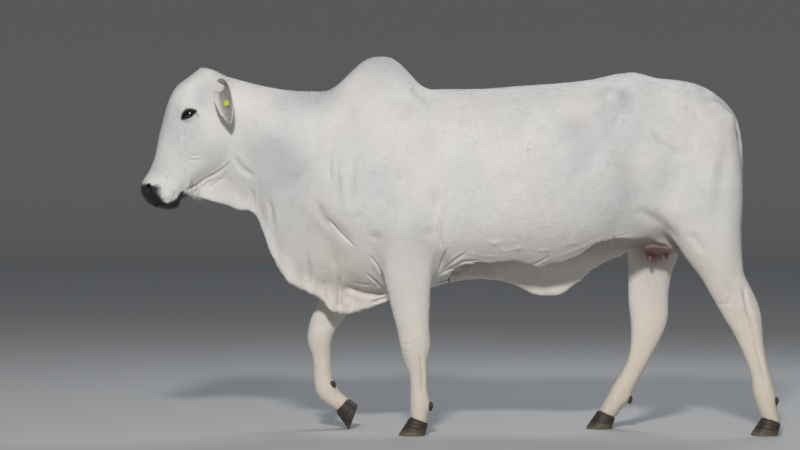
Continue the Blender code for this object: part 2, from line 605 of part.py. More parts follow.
def blended(thing):
    """Smooths the skin much more where one mass runs into another."""
    co = points_of(thing)
    co[:, 1] = np.abs(co[:, 1])
    amount = np.zeros(len(co))
    for centre, reach in BLENDS:
        amount = np.maximum(amount, falloff(co, centre, reach))
    # the thin free edge of the dewlap and navel fold keeps its shape
    rows = np.asarray(KEEL)
    edge = smooth_curve(rows[:, 0], rows[:, 1], np.clip(co[:, 0], rows[0, 0], rows[-1, 0]))
    amount *= np.clip((co[:, 2] - edge) / 0.10, 0, 1) ** (co[:, 1] < 0.06)
    level = np.round(amount * 10).astype(int)
    group = thing.vertex_groups.new(name="blend")
    for step in range(1, 11):
        group.add(np.flatnonzero(level == step).tolist(), step / 10, "REPLACE")
    smooth = thing.modifiers.new("blend", "SMOOTH")
    smooth.factor = 0.5
    smooth.iterations = BLENDING
    smooth.vertex_group = "blend"
    baked(thing)
    thing.vertex_groups.clear()


def shaped(thing):
    """Raises the hump and pushes out or draws in the forms of the body and the head."""
    co = points_of(thing)
    side = np.sign(co[:, 1])
    half = co.copy()
    half[:, 1] = np.abs(half[:, 1])
    push = np.zeros_like(co)
    for centre, reach, lean, way in BODY_FORMS:
        push += falloff(half, centre, reach, lean)[:, None] * np.array(way)
    rows = np.asarray(HUMP)
    rise = smooth_curve(rows[:, 0], rows[:, 1], np.clip(co[:, 0], rows[0, 0], rows[-1, 0]))
    upper = np.clip((co[:, 2] - 1.18) / 0.12, 0, 1)
    push[:, 2] += rise * np.exp(-((half[:, 1] / HUMP_SPREAD) ** 2.6)) * upper
    frame = np.array((HEAD_ALONG, HEAD_FRONT, (0, 1, 0)))
    local = (half - np.array(POLL)) @ frame.T
    near_head = np.zeros_like(co)
    for centre, reach, way in HEAD_FORMS:
        near_head += falloff(local[:, [0, 2, 1]], np.array(centre)[[0, 2, 1]], np.array(reach)[[0, 2, 1]])[:, None] * way
    push += near_head @ frame
    push[:, 1] *= side
    set_points(thing, co + push)


def spared(thing):
    """Marks how freely each point may be given up when the skin is reduced; returns the group's name."""
    frame = np.array((HEAD_ALONG, HEAD_FRONT, (0, 1, 0)))
    co = points_of(thing)
    co[:, 1] = np.abs(co[:, 1])
    local = (co - np.array(POLL)) @ frame.T
    keep = np.zeros(len(co))
    for centre, reach in HEAD_FINE:
        away = (local - np.array(centre)) / np.array(reach)
        keep = np.maximum(keep, np.exp(-(away**2).sum(axis=1)))
    level = np.round((1 - 0.8 * keep) * 20).astype(int)
    group = thing.vertex_groups.new(name="spared")
    for step in range(1, 21):
        group.add(np.flatnonzero(level == step).tolist(), step / 20, "REPLACE")
    return group.name


def fused(name, parts, grain, triangles):
    """The parts as one skin: fused on a voxel grid, blended, shaped, and reduced to the triangles asked for."""
    body = joined(name, parts)
    for stage in (blended, shaped):
        fuse = body.modifiers.new("fuse", "REMESH")
        fuse.mode = "VOXEL"
        fuse.voxel_size = grain
        smooth = body.modifiers.new("smooth", "SMOOTH")
        smooth.factor = 0.5
        smooth.iterations = SMOOTHING
        largest_shell(baked(body))
        stage(body)
    group = spared(body)
    reduce = body.modifiers.new("reduce", "DECIMATE")
    reduce.ratio = min(1.0, triangles / len(body.data.polygons))
    reduce.vertex_group = group
    reduce.vertex_group_factor = FINENESS
    baked(body)
    body.vertex_groups.clear()
    return body


def prism(name, outline, low, high):
    """A cutter with the given outline in x and z, between two distances across."""
    ring = np.array([(x, 0.0, z) for x, z in outline])
    return loft(name, [ring + (0, low, 0), ring + (0, high, 0)])


def ahead_of(cut, grow):
    """A cutter that takes in everything in front of one of the cuts."""
    line = [(x + grow, z) for x, z in cut]
    return prism("ahead", line + [(-2.0, cut[-1][1]), (-2.0, cut[0][1])], -0.4, 0.4)


def parted(source, cutter_at):
    """The piece of the flesh inside a cutter, and the rest of it, with the clearance between them."""
    inside = copied(source, "inside")
    cutter = cutter_at(-GAP / 2)
    combine(inside, cutter, "INTERSECT")
    removed(cutter)
    cutter = cutter_at(GAP / 2)
    combine(source, cutter, "DIFFERENCE")
    removed(cutter)
    return inside


def dewlap_cutter(grow):
    top = [(x, z + grow) for x, z in DEWLAP_TOP]
    outline = top + [(top[-1][0] + grow, 0.400), (top[0][0] - grow, 0.400)]
    outline[len(top) - 1] = (top[-1][0] + grow, top[-1][1])
    outline[0] = (top[0][0] - grow, top[0][1])
    return prism("dewlap_cutter", outline, -DEWLAP_HALF, DEWLAP_HALF)


def leg_cutter(grow, side, low_x, high_x, inside, height):
    low, high = sorted((side * (inside - grow), side * 0.45))
    return block("leg_cutter", (low_x, low, -0.3), (high_x, high, height + grow))


def lid_opening(side):
    """An almond-shaped cutter that opens the lids outwards."""
    centre, along, across, outward = eye_frame(side)
    half, high = EYE_OPENING[0] / 2, EYE_OPENING[1] / 2
    angle = np.linspace(0, 2 * math.pi, 24, endpoint=False)
    ring = [
        centre + along * (half * math.cos(a)) + across * (high * math.sin(a) * abs(math.sin(a)) ** 0.3)
        for a in angle
    ]
    flare = [centre + (point - centre) * 1.25 + outward * 0.05 for point in ring]
    return loft("lid_opening", [ring, flare])


def nostril(side):
    """A comma-shaped hollow that runs back and down into the nose."""
    s, f, out = NOSTRIL_PLACE
    turn = Matrix((HEAD_ALONG, HEAD_FRONT, (0, 1, 0))).transposed().to_4x4()
    lean = Matrix.Rotation(math.radians(-35), 4, "Z")
    hollow = ball("nostril", (0, 0, 0), NOSTRIL_RADII, subdivisions=2)
    hollow.data.transform(Matrix.Translation(head_point(s, f, side * out)) @ turn @ lean)
    return hollow


def mouth_groove(head):
    """A thin channel along the surface of the head where the lips meet, right round the front."""
    tree = BVHTree.FromObject(head, bpy.context.evaluated_depsgraph_get())
    line = np.asarray(MOUTH_LINE)
    run = np.concatenate([[0], np.cumsum(np.hypot(*np.diff(line, axis=0).T))])
    at = smooth_curve(run, line, np.linspace(0, run[-1], 10))
    right = []
    for s, f in at:
        spot = tree.ray_cast(head_point(s, f, 0.3), Vector((0, -1, 0)))[0]
        if spot and spot.y > 0.004:
            right.append(spot)
    front = tree.ray_cast(head_point(0.8, MOUTH_LINE[0][1], 0), -HEAD_ALONG)[0]
    rim = right[::-1] + [front] + [Vector((spot.x, -spot.y, spot.z)) for spot in right]
    rings = []
    for i, spot in enumerate(rim):
        heart = head_point(0.440, (spot - POLL).dot(HEAD_FRONT) * 0.6, 0)
        way = (spot - heart).normalized()
        ahead = rim[min(i + 1, len(rim) - 1)] - rim[max(i - 1, 0)]
        normal = way.cross(ahead).normalized()
        depth = MOUTH_DEPTH * (0.3 if i in (0, len(rim) - 1) else 1.0)
        rings.append([
            spot + way * along + normal * across
            for along, across in (
                (0.006, 0.6 * MOUTH_OPENING), (-0.3 * depth, 0.5 * MOUTH_OPENING), (-depth, 0.2 * MOUTH_OPENING),
                (-depth, -0.2 * MOUTH_OPENING), (-0.3 * depth, -0.5 * MOUTH_OPENING), (0.006, -0.6 * MOUTH_OPENING),
            )
        ])
    return loft("mouth", rings)


def ear_frames(side, count):
    """Along the ear: its middle, the ways along, across and out of its cup, and its place from 0 to 1."""
    path = np.asarray(EAR_PATH) * (1, side, 1)
    run = np.concatenate([[0], np.cumsum(np.linalg.norm(np.diff(path, axis=0), axis=1))])
    place = np.linspace(0, 1, count)
    middle = smooth_curve(run / run[-1], path, place)
    along = np.gradient(middle, place, axis=0)
    along /= np.linalg.norm(along, axis=1)[:, None]
    faces = np.array(EAR_FACES) * (1, side, 1)
    faces = faces - along * (along @ faces)[:, None]
    faces /= np.linalg.norm(faces, axis=1)[:, None]
    across = np.cross(along, faces)
    return middle, along, across, faces, place


def ear(side, name, grow=0.0):
    """A rolled leaf: tubular at the root, an open cup in the middle, flat and pointed at the tip."""
    middle, along, across, faces, place = ear_frames(side, 15)
    rows = np.asarray(EAR_PROFILE)
    half, roll = smooth_curve(rows[:, 0], rows[:, 1:], place).T
    bend = np.linspace(-1, 1, 8)
    rings = []
    for i in range(len(place)):
        angle = bend * roll[i]
        radius = half[i] / math.sin(min(roll[i], math.pi / 2))
        out = np.sin(angle)[:, None] * across[i] - np.cos(angle)[:, None] * faces[i]
        thick = EAR_THICKNESS / 2 * (1 - 0.45 * bend**2) * min(1, 0.3 + half[i] / 0.02) + grow
        strip = middle[i] + faces[i] * radius + out * radius
        outer = strip + out * thick[:, None]
        inner = strip - out * thick[:, None]
        edge = np.gradient(strip, bend, axis=0)
        edge /= np.linalg.norm(edge, axis=1)[:, None]
        tip = strip[[-1]] + edge[[-1]] * thick[-1]
        tail = strip[[0]] - edge[[0]] * thick[0]
        rings.append(np.vstack([outer, tip, inner[::-1], tail]))
    rings[0] = rings[0] - along[0] * grow
    rings[-1] = rings[-1] + along[-1] * grow
    return loft(name, rings)


def ear_tag(name, grow=0.0):
    """A button on each face of the left ear, joined by a stud through it."""
    middle, along, across, faces, place = ear_frames(-1, 101)
    i = round(TAG_ALONG * 100)
    axis = Vector(faces[i])
    centre = Vector(middle[i])
    profile = (
        (-0.0075, 0.0010), (-0.0075, TAG_RADIUS * 0.8), (-0.0050, TAG_RADIUS * 0.8), (-0.0050, TAG_STUD),
        (0.0045, TAG_STUD), (0.0045, TAG_RADIUS), (0.0045 + TAG_THICKNESS, TAG_RADIUS), (0.0045 + TAG_THICKNESS, 0.0010),
    )
    ways = (-1, -1, 1, 1, -1, -1, 1, 1)
    angle = np.linspace(0, 2 * math.pi, 12, endpoint=False)
    side = Vector(along[i])
    up = axis.cross(side)
    rings = []
    for (height, radius), way in zip(profile, ways):
        spread = radius + (grow if radius > 0.002 else 0)
        rings.append([
            centre + axis * (height + way * grow) + side * (spread * math.cos(a)) + up * (spread * math.sin(a))
            for a in angle
        ])
    return loft(name, rings)


def claw(name, foot, which):
    """One of the two claws of a foot: flat sole, sloping toe, flat face towards the cleft."""
    (x, z), out, side, pitch = FEET[foot][:4]
    height = (CLAW_TOE + CLAW_HEEL) / 2
    coronet = ((CLAW_TOE / math.tan(TOE_SLOPE)) + (CLAW_HEEL / math.tan(HEEL_SLOPE))) / 2
    angle = np.linspace(0, 2 * math.pi, 20, endpoint=False)
    c = np.sign(np.cos(angle)) * np.abs(np.cos(angle)) ** 0.85
    s = np.sin(angle)
    rings = []
    for h in (0.0, 0.06, 0.50, 1.0):
        toe = -CLAW_LENGTH / 2 + h * CLAW_TOE / math.tan(TOE_SLOPE)
        heel = CLAW_LENGTH / 2 + h * CLAW_HEEL / math.tan(HEEL_SLOPE)
        width = CLAW_WIDTH * (1.0 - 0.08 * h) * (0.96 if h == 0 else 1.0)
        along = (toe + heel) / 2 + (heel - toe) / 2 * c * (0.97 if h == 0 else 1.0)
        rise = h * (CLAW_TOE + (CLAW_HEEL - CLAW_TOE) * (along - toe) / (heel - toe))
        across = np.where(s > 0, width * np.abs(s) ** 0.8, -0.05 * width * np.abs(s))
        across += CLEFT / 2 + 0.05 * width
        rings.append(np.column_stack([along - coronet, across, rise - height]))
    turn = math.radians(pitch)
    rings = np.array(rings)
    turned = np.empty_like(rings)
    turned[..., 0] = x + rings[..., 0] * math.cos(turn) - rings[..., 2] * math.sin(turn)
    turned[..., 2] = z + rings[..., 0] * math.sin(turn) + rings[..., 2] * math.cos(turn)
    turned[..., 1] = side * out + which * rings[..., 1]
    made = loft(name, turned)
    if pitch:
        trimmed(made, (0, 0, 0), (0, 0, -1))
    return made


def coronet_cut(foot):
    """The plane where the skin of the leg ends on top of the claws."""
    (x, z), out, side, pitch = FEET[foot][:4]
    length = CLAW_LENGTH + CLAW_HEEL / math.tan(HEEL_SLOPE) - CLAW_TOE / math.tan(TOE_SLOPE)
    lean = math.atan2(CLAW_TOE - CLAW_HEEL, length) - math.radians(pitch)
    up = Vector((math.sin(lean), 0, math.cos(lean)))
    return Vector((x, side * out, z)) + up * GAP, -up


def dewclaw(name, foot, which, grow=0.0):
    (x, z), depth, lean = FEET[foot][4:]
    out, side = FEET[foot][1:3]
    turn = math.radians(lean)
    centre = (x + math.cos(turn) * depth, side * out + which * 0.021, z + math.sin(turn) * depth)
    radii = [radius + grow for radius in DEWCLAW_RADII]
    return ball(name, centre, radii, -lean * 0.5 - 12, subdivisions=2)


def tail(name, grow=0.0):
    rows = [(x, z, 0.0, radius + grow, radius * 1.1 + grow) for (x, z), radius in zip(TAIL_PATH, TAIL_RADII)]
    made = limb(name, rows, sections=22, around=14)
    (x, z), (way_x, way_z) = TAIL_CUT
    way = Vector((way_x, 0, way_z)).normalized()
    trimmed(made, Vector((x, 0, z)) + way * (GAP / 2 - grow), -way)
    return trimmed(made, (0, 0, SWITCH_TOP + GAP), (0, 0, -1))


def teat(x, y):
    """A short blunt teat with its root in the udder."""
    angle = np.linspace(0, 2 * math.pi, 8, endpoint=False)
    rings = []
    for t, spread in ((0.0, 1.25), (0.45, 1.0), (0.85, 0.85), (1.0, 0.45)):
        z = TEAT_TOP + (TEAT_END - TEAT_TOP) * t
        out = y * (1 + 0.25 * t)
        rings.append(np.column_stack([
            x + TEAT_RADIUS * spread * np.cos(angle), out + TEAT_RADIUS * spread * np.sin(angle), np.full(8, z),
        ]))
    return loft("teat", rings)


def lock(top, middle, turn, drop, bulge, width, thickness):
    """One flat tapered lock: it leaves the core, bellies out and closes in again to a point."""
    rings = []
    outward = np.array((math.cos(turn), math.sin(turn), 0.0))
    sideways = np.array((-math.sin(turn), math.cos(turn), 0.0))
    for t in (0.0, 0.25, 0.55, 0.82, 1.0):
        reach = 0.004 + bulge * math.sin(math.pi * (0.12 + 0.80 * t) ** 0.8) * (1 - 0.35 * t)
        sway = 0.25 * bulge * math.sin(2.2 * t + turn)
        centre = np.array((middle, 0.0, top - drop * t)) + outward * reach + sideways * sway
        taper = (0.75 + 0.9 * t) * (1 - t) ** 0.55 if t < 1 else 0.0
        wide = max(width * taper, 0.0016) / 2
        thick = max(thickness * taper, 0.0014) / 2
        rings.append([
            centre + sideways * wide, centre + outward * thick, centre - sideways * wide, centre - outward * thick,
        ])
    return loft("lock", rings)


def united(name, parts):
    """The parts as one closed body."""
    group = bpy.data.collections.new("pieces")
    for part in parts[1:]:
        group.objects.link(part)
    whole = parts[0]
    step = whole.modifiers.new("union", "BOOLEAN")
    step.operation = "UNION"
    step.operand_type = "COLLECTION"
    step.collection = group
    step.solver = "EXACT"
    baked(whole)
    removed(*parts[1:])
    bpy.data.collections.remove(group)
    whole.name = name
    return largest_shell(whole)


def tail_switch(name):
    """The hair at the end of the tail: a short core, and three tiers of locks that hang over one another."""
    draw = random.Random(7)
    middle = TAIL_PATH[-1][0]
    radius = TAIL_RADII[-1] * 1.08
    angle = np.linspace(0, 2 * math.pi, 12, endpoint=False)
    core = []
    for h, spread in ((0.0, 1.0), (0.5, 1.0), (0.85, 0.75), (1.0, 0.4)):
        ring = np.column_stack([
            middle + radius * spread * np.cos(angle), radius * spread * np.sin(angle),
            np.full(12, SWITCH_TOP - SWITCH_CORE * h),
        ])
        core.append(ring)
    parts = [loft(name, core)]
    for i in range(SWITCH_LOCKS):
        tier = i % 3
        turn = 2 * math.pi * (i + draw.uniform(-0.25, 0.25)) / SWITCH_LOCKS * 1.0 + tier * 0.13
        top = SWITCH_TOP - 0.010 - tier * 0.034
        end = SWITCH_END + (2 - tier) * 0.030 + draw.uniform(0.0, 0.020)
        bulge = SWITCH_BULGE * draw.uniform(0.80, 1.0) * (1.0 - 0.12 * tier)
        width = LOCK_WIDTH * draw.uniform(0.85, 1.15)
        parts.append(lock(top, middle, turn, top - end, bulge, width, LOCK_THICKNESS))
    return united(name, parts)


clear_scene()
body = fused("body", body_masses(), BODY_GRAIN, BODY_TRIANGLES)
head = fused("head", head_masses(), HEAD_GRAIN, HEAD_TRIANGLES)

# the head, with sockets, lids, nostrils and mouth
pieces = {}
for cutter, operation in ((ahead_of(HEAD_CUT, -GAP / 2), "INTERSECT"), (dewlap_cutter(GAP / 2), "DIFFERENCE")):
    combine(head, cutter, operation)
    removed(cutter)
for side, word in ((-1, "left"), (1, "right")):
    for cutter in (lid_opening(side), eyeball(side, "socket", GAP), nostril(side), ear(side, "ear_seat", GAP)):
        combine(head, cutter, "DIFFERENCE")
        removed(cutter)
    pieces["eye_" + word] = eyeball(side, "eye_" + word)
    pieces["ear_" + word] = ear(side, "ear_" + word)
cutter = mouth_groove(head)
combine(head, cutter, "DIFFERENCE")
removed(cutter)
seat = ear_tag("tag_seat", GAP)
combine(pieces["ear_left"], seat, "DIFFERENCE")
removed(seat)
pieces["ear_tag"] = ear_tag("ear_tag")
pieces["head"] = head

# the dewlap, neck, hump, legs and torso
pieces["dewlap"] = parted(body, dewlap_cutter)
cutter = ahead_of(HEAD_CUT, GAP / 2)
combine(body, cutter, "DIFFERENCE")
removed(cutter)
pieces["neck"] = parted(body, lambda grow: ahead_of(NECK_CUT, grow))
pieces["hump"] = parted(body, lambda grow: block(
    "hump_cutter", (-0.530, -0.2, HUMP_CUT_HEIGHT - grow), (-0.100, 0.2, 1.7)))
legs = {
    "fore_left": (-1, -0.45, 0.05, FORE_CUT_INSIDE, FORE_CUT_HEIGHT),
    "fore_right": (1, -0.80, -0.24, FORE_CUT_INSIDE, FORE_CUT_HEIGHT),
    "hind_left": (-1, 0.625, 1.50, 0.0, HIND_CUT_HEIGHT),
    "hind_right": (1, 0.625, 1.50, 0.0, HIND_CUT_HEIGHT),
}
for foot, where in legs.items():
    if foot == "hind_right":
        where = (1, 0.450, 1.50, 0.0, HIND_CUT_HEIGHT)
    leg = parted(body, lambda grow: leg_cutter(grow, *where))
    trimmed(leg, *coronet_cut(foot))
    side = FEET[foot][2]
    for which, word in ((side, "outer"), (-side, "inner")):
        pieces[f"claw_{foot}_{word}"] = claw(f"claw_{foot}_{word}", foot, which)
        cutter = dewclaw("seat", foot, which, GAP)
        combine(leg, cutter, "DIFFERENCE")
        removed(cutter)
        pieces[f"dewclaw_{foot}_{word}"] = dewclaw(f"dewclaw_{foot}_{word}", foot, which)
    pieces[f"leg_{foot}"] = leg
body = united("torso", [body] + [teat(x, side * out) for x, out in TEATS for side in (1, -1)])
seat = tail("seat", TAIL_CLEARANCE)
combine(body, seat, "DIFFERENCE")
removed(seat)
pieces["torso"] = body
pieces["tail"] = tail("tail")
pieces["tail_switch"] = tail_switch("tail_switch")

# finishes, and the collection that holds the animal
finishes = {
    "hide": material("hide", (0.680, 0.640, 0.590), 0.75),
    "eye": material("eye", (0.012, 0.009, 0.008), 0.08),
    "claw_horn": material("claw_horn", (0.050, 0.044, 0.040), 0.45),
    "ear_tag": material("ear_tag", (0.480, 0.560, 0.080), 0.40),
    "switch_hair": material("switch_hair", (0.030, 0.028, 0.027), 0.60),
}
collection = bpy.data.collections.new("nelore_cow")
bpy.context.scene.collection.children.link(collection)
for name, thing in pieces.items():
    thing.name = name
    thing.data.name = name
    finish = "hide"
    for start, other in (("eye", "eye"), ("claw", "claw_horn"), ("dewclaw", "claw_horn"),
                         ("ear_tag", "ear_tag"), ("tail_switch", "switch_hair")):
        if name.startswith(start):
            finish = other
    own = finishes[finish].copy()
    own.name = name
    thing.data.materials.clear()
    thing.data.materials.append(own)
    bpy.context.scene.collection.objects.unlink(thing)
    collection.objects.link(thing)
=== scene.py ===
"""The looks of a life-size still model of a polled Nelore cow, as a museum would show it.

Metres, +Z up. The cow faces -X, its left side faces -Y and the floor is z = 0.
"""

import math

import bmesh
import bpy
import numpy as np
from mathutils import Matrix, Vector


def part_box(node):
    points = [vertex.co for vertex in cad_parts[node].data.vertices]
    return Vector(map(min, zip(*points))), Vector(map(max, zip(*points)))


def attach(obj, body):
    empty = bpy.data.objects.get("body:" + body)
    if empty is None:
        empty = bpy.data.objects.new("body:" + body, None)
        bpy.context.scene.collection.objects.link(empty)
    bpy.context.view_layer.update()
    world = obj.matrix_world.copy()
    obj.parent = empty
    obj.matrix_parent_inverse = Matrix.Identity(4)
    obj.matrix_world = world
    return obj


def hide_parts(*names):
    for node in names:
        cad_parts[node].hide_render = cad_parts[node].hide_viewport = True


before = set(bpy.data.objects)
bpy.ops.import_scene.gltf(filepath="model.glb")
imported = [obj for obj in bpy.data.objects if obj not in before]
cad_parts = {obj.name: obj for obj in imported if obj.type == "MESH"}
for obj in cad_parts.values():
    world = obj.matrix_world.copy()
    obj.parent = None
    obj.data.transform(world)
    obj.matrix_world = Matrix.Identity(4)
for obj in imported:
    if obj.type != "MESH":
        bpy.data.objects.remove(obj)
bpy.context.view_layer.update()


# The hide. One skin stands for every piece of flesh, so that no parting shows. It is laid up from
# the carved solids: smoothed as a whole, drawn in by the depth of the coat, and then worked with
# the folds, creases, veins, lids, lips and nostrils that loose zebu skin has.

FLESH = ("head", "neck", "dewlap", "hump", "torso", "leg_fore_left", "leg_fore_right",
         "leg_hind_left", "leg_hind_right", "tail", "ear_left", "ear_right")
BODY_VOXEL = 0.0080
HEAD_VOXEL = 0.0042
SKIN_VOXEL = 0.0038
SKIN_TRIANGLES = 120000
OVERLAP = 0.0006                                 # how far copies are pushed out, to close the CAD's gaps
EAR_OVERLAP = 0.0008
COAT_DEPTH = 0.0025


def node_shell(name, grow, mirrored=False):
    """Corners and triangles of a node's copy, pushed out along its normals so that neighbours overlap."""
    shell = bmesh.new()
    shell.from_mesh(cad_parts[name].data)
    bmesh.ops.remove_doubles(shell, verts=shell.verts, dist=1e-5)
    shell.normal_update()
    points = np.array([vert.co + vert.normal * grow for vert in shell.verts])
    corners = np.array([[vert.index for vert in face.verts] for face in shell.faces])
    shell.free()
    if mirrored:
        points = points * (1, -1, 1)
        corners = corners[:, ::-1]
    return points, corners


def mesh_of(name, points, faces):
    """A mesh from arrays; faces is one array of equally long rows, or a list of such arrays."""
    groups = faces if isinstance(faces, list) else [faces]
    corners = np.concatenate([group.ravel() for group in groups])
    sizes = np.concatenate([np.full(len(group), group.shape[1]) for group in groups])
    mesh = bpy.data.meshes.new(name)
    mesh.vertices.add(len(points))
    mesh.vertices.foreach_set("co", np.asarray(points, np.float32).ravel())
    mesh.loops.add(len(corners))
    mesh.loops.foreach_set("vertex_index", corners.astype(np.int32))
    mesh.polygons.add(len(sizes))
    mesh.polygons.foreach_set("loop_start", (np.cumsum(sizes) - sizes).astype(np.int32))
    mesh.polygons.foreach_set("loop_total", sizes.astype(np.int32))
    mesh.update(calc_edges=True)
    return mesh


def piece(name, mesh, smooth=True):
    made = bpy.data.objects.new(name, mesh)
    bpy.context.scene.collection.objects.link(made)
    if smooth:
        mesh.shade_smooth()
    return made


def merged(shells):
    """Several shells' points and triangles as one pair of arrays."""
    start = np.cumsum([0] + [len(points) for points, _ in shells[:-1]])
    points = np.concatenate([points for points, _ in shells])
    return points, np.concatenate([corners + first for (_, corners), first in zip(shells, start)])


def read(items, field, kind=np.float32, across=3):
    """A field of all the items of a mesh, one row for each."""
    flat = np.empty(len(items) * across, kind)
    items.foreach_get(field, flat)
    return flat.reshape(-1, across)


def points_of(mesh):
    return read(mesh.vertices, "co").astype(float)


def normals_of(mesh):
    return read(mesh.vertex_normals, "vector").astype(float)


def edges_of(mesh):
    return read(mesh.edges, "vertices", np.int32, 2)


def triangles_of(mesh):
    mesh.calc_loop_triangles()
    return read(mesh.loop_triangles, "vertices", np.int32)


def set_points(mesh, points):
    mesh.vertices.foreach_set("co", np.asarray(points, np.float32).ravel())
    mesh.update()


def applied(thing):
    """The object's mesh with its modifiers worked into it."""
    graph = bpy.context.evaluated_depsgraph_get()
    mesh = bpy.data.meshes.new_from_object(thing.evaluated_get(graph))
    thing.modifiers.clear()
    thing.data = mesh
    return thing


def fused(name, shells, voxel):
    """Overlapping closed shells as one closed surface on a voxel grid; only its largest surface is kept."""
    thing = piece(name, mesh_of(name, *merged(shells)), smooth=False)
    fuse = thing.modifiers.new("fuse", "REMESH")
    fuse.mode = "VOXEL"
    fuse.voxel_size = voxel
    applied(thing)
    shell = np.arange(len(thing.data.vertices))
    a, b = edges_of(thing.data).T
    while True:
        lower = shell.copy()
        np.minimum.at(lower, a, shell[b])
        np.minimum.at(lower, b, shell[a])
        lower = lower[lower]
        if (lower == shell).all():
            break
        shell = lower
    largest = np.bincount(shell).argmax()
    if (shell != largest).any():
        whole = bmesh.new()
        whole.from_mesh(thing.data)
        whole.verts.ensure_lookup_table()
        doomed = [whole.verts[i] for i in np.flatnonzero(shell != largest)]
        bmesh.ops.delete(whole, geom=doomed, context="VERTS")
        whole.to_mesh(thing.data)
        whole.free()
    return thing


def ramp(value, width):
    """value / width, held between 0 and 1."""
    return np.clip(value / width, 0, 1)


def bell_curve(value, width):
    """exp(-(value / width)^2): 1 in the middle and near 0 two widths away."""
    return np.exp(-((value / width) ** 2))


def unit_rows(rows):
    return rows / np.linalg.norm(rows, axis=1, keepdims=True)


def relaxed(points, edges, rounds, weight=1.0, inward=0.5, outward=-0.53):
    """Each round moves every point to the mean of its neighbours and then most of the way back,
    so that facets go and the bulk stays."""
    a, b = edges.T
    count = np.maximum(np.bincount(edges.ravel(), minlength=len(points)), 1)[:, None]
    for _ in range(rounds):
        for step in (inward, outward):
            mean = np.stack([
                np.bincount(a, points[b, k], len(points)) + np.bincount(b, points[a, k], len(points))
                for k in range(3)
            ], axis=1) / count
            points = points + step * weight * (mean - points)
    return points


# the bulk of the animal, with the eyes in to fill their sockets; its face is drawn in under the finer head
EYES = ("eye_left", "eye_right")
bulk = fused("bulk", [node_shell(name, OVERLAP) for name in FLESH[:-2] + EYES], BODY_VOXEL)
points = relaxed(points_of(bulk.data), edges_of(bulk.data), 60)
set_points(bulk.data, points)
points -= normals_of(bulk.data) * (0.003 * ramp(-0.890 - points[:, 0], 0.03))[:, None]
set_points(bulk.data, points)
face = fused("face", [node_shell(name, OVERLAP) for name in ("head",) + EYES], HEAD_VOXEL)
set_points(face.data, relaxed(points_of(face.data), edges_of(face.data), 30))
shells = []
for part in (bulk, face):
    shells.append((points_of(part.data), triangles_of(part.data)))
    bpy.data.objects.remove(part)
shells += [node_shell("ear_right", EAR_OVERLAP), node_shell("ear_right", EAR_OVERLAP, mirrored=True)]
hide = fused("hide", shells, SKIN_VOXEL)
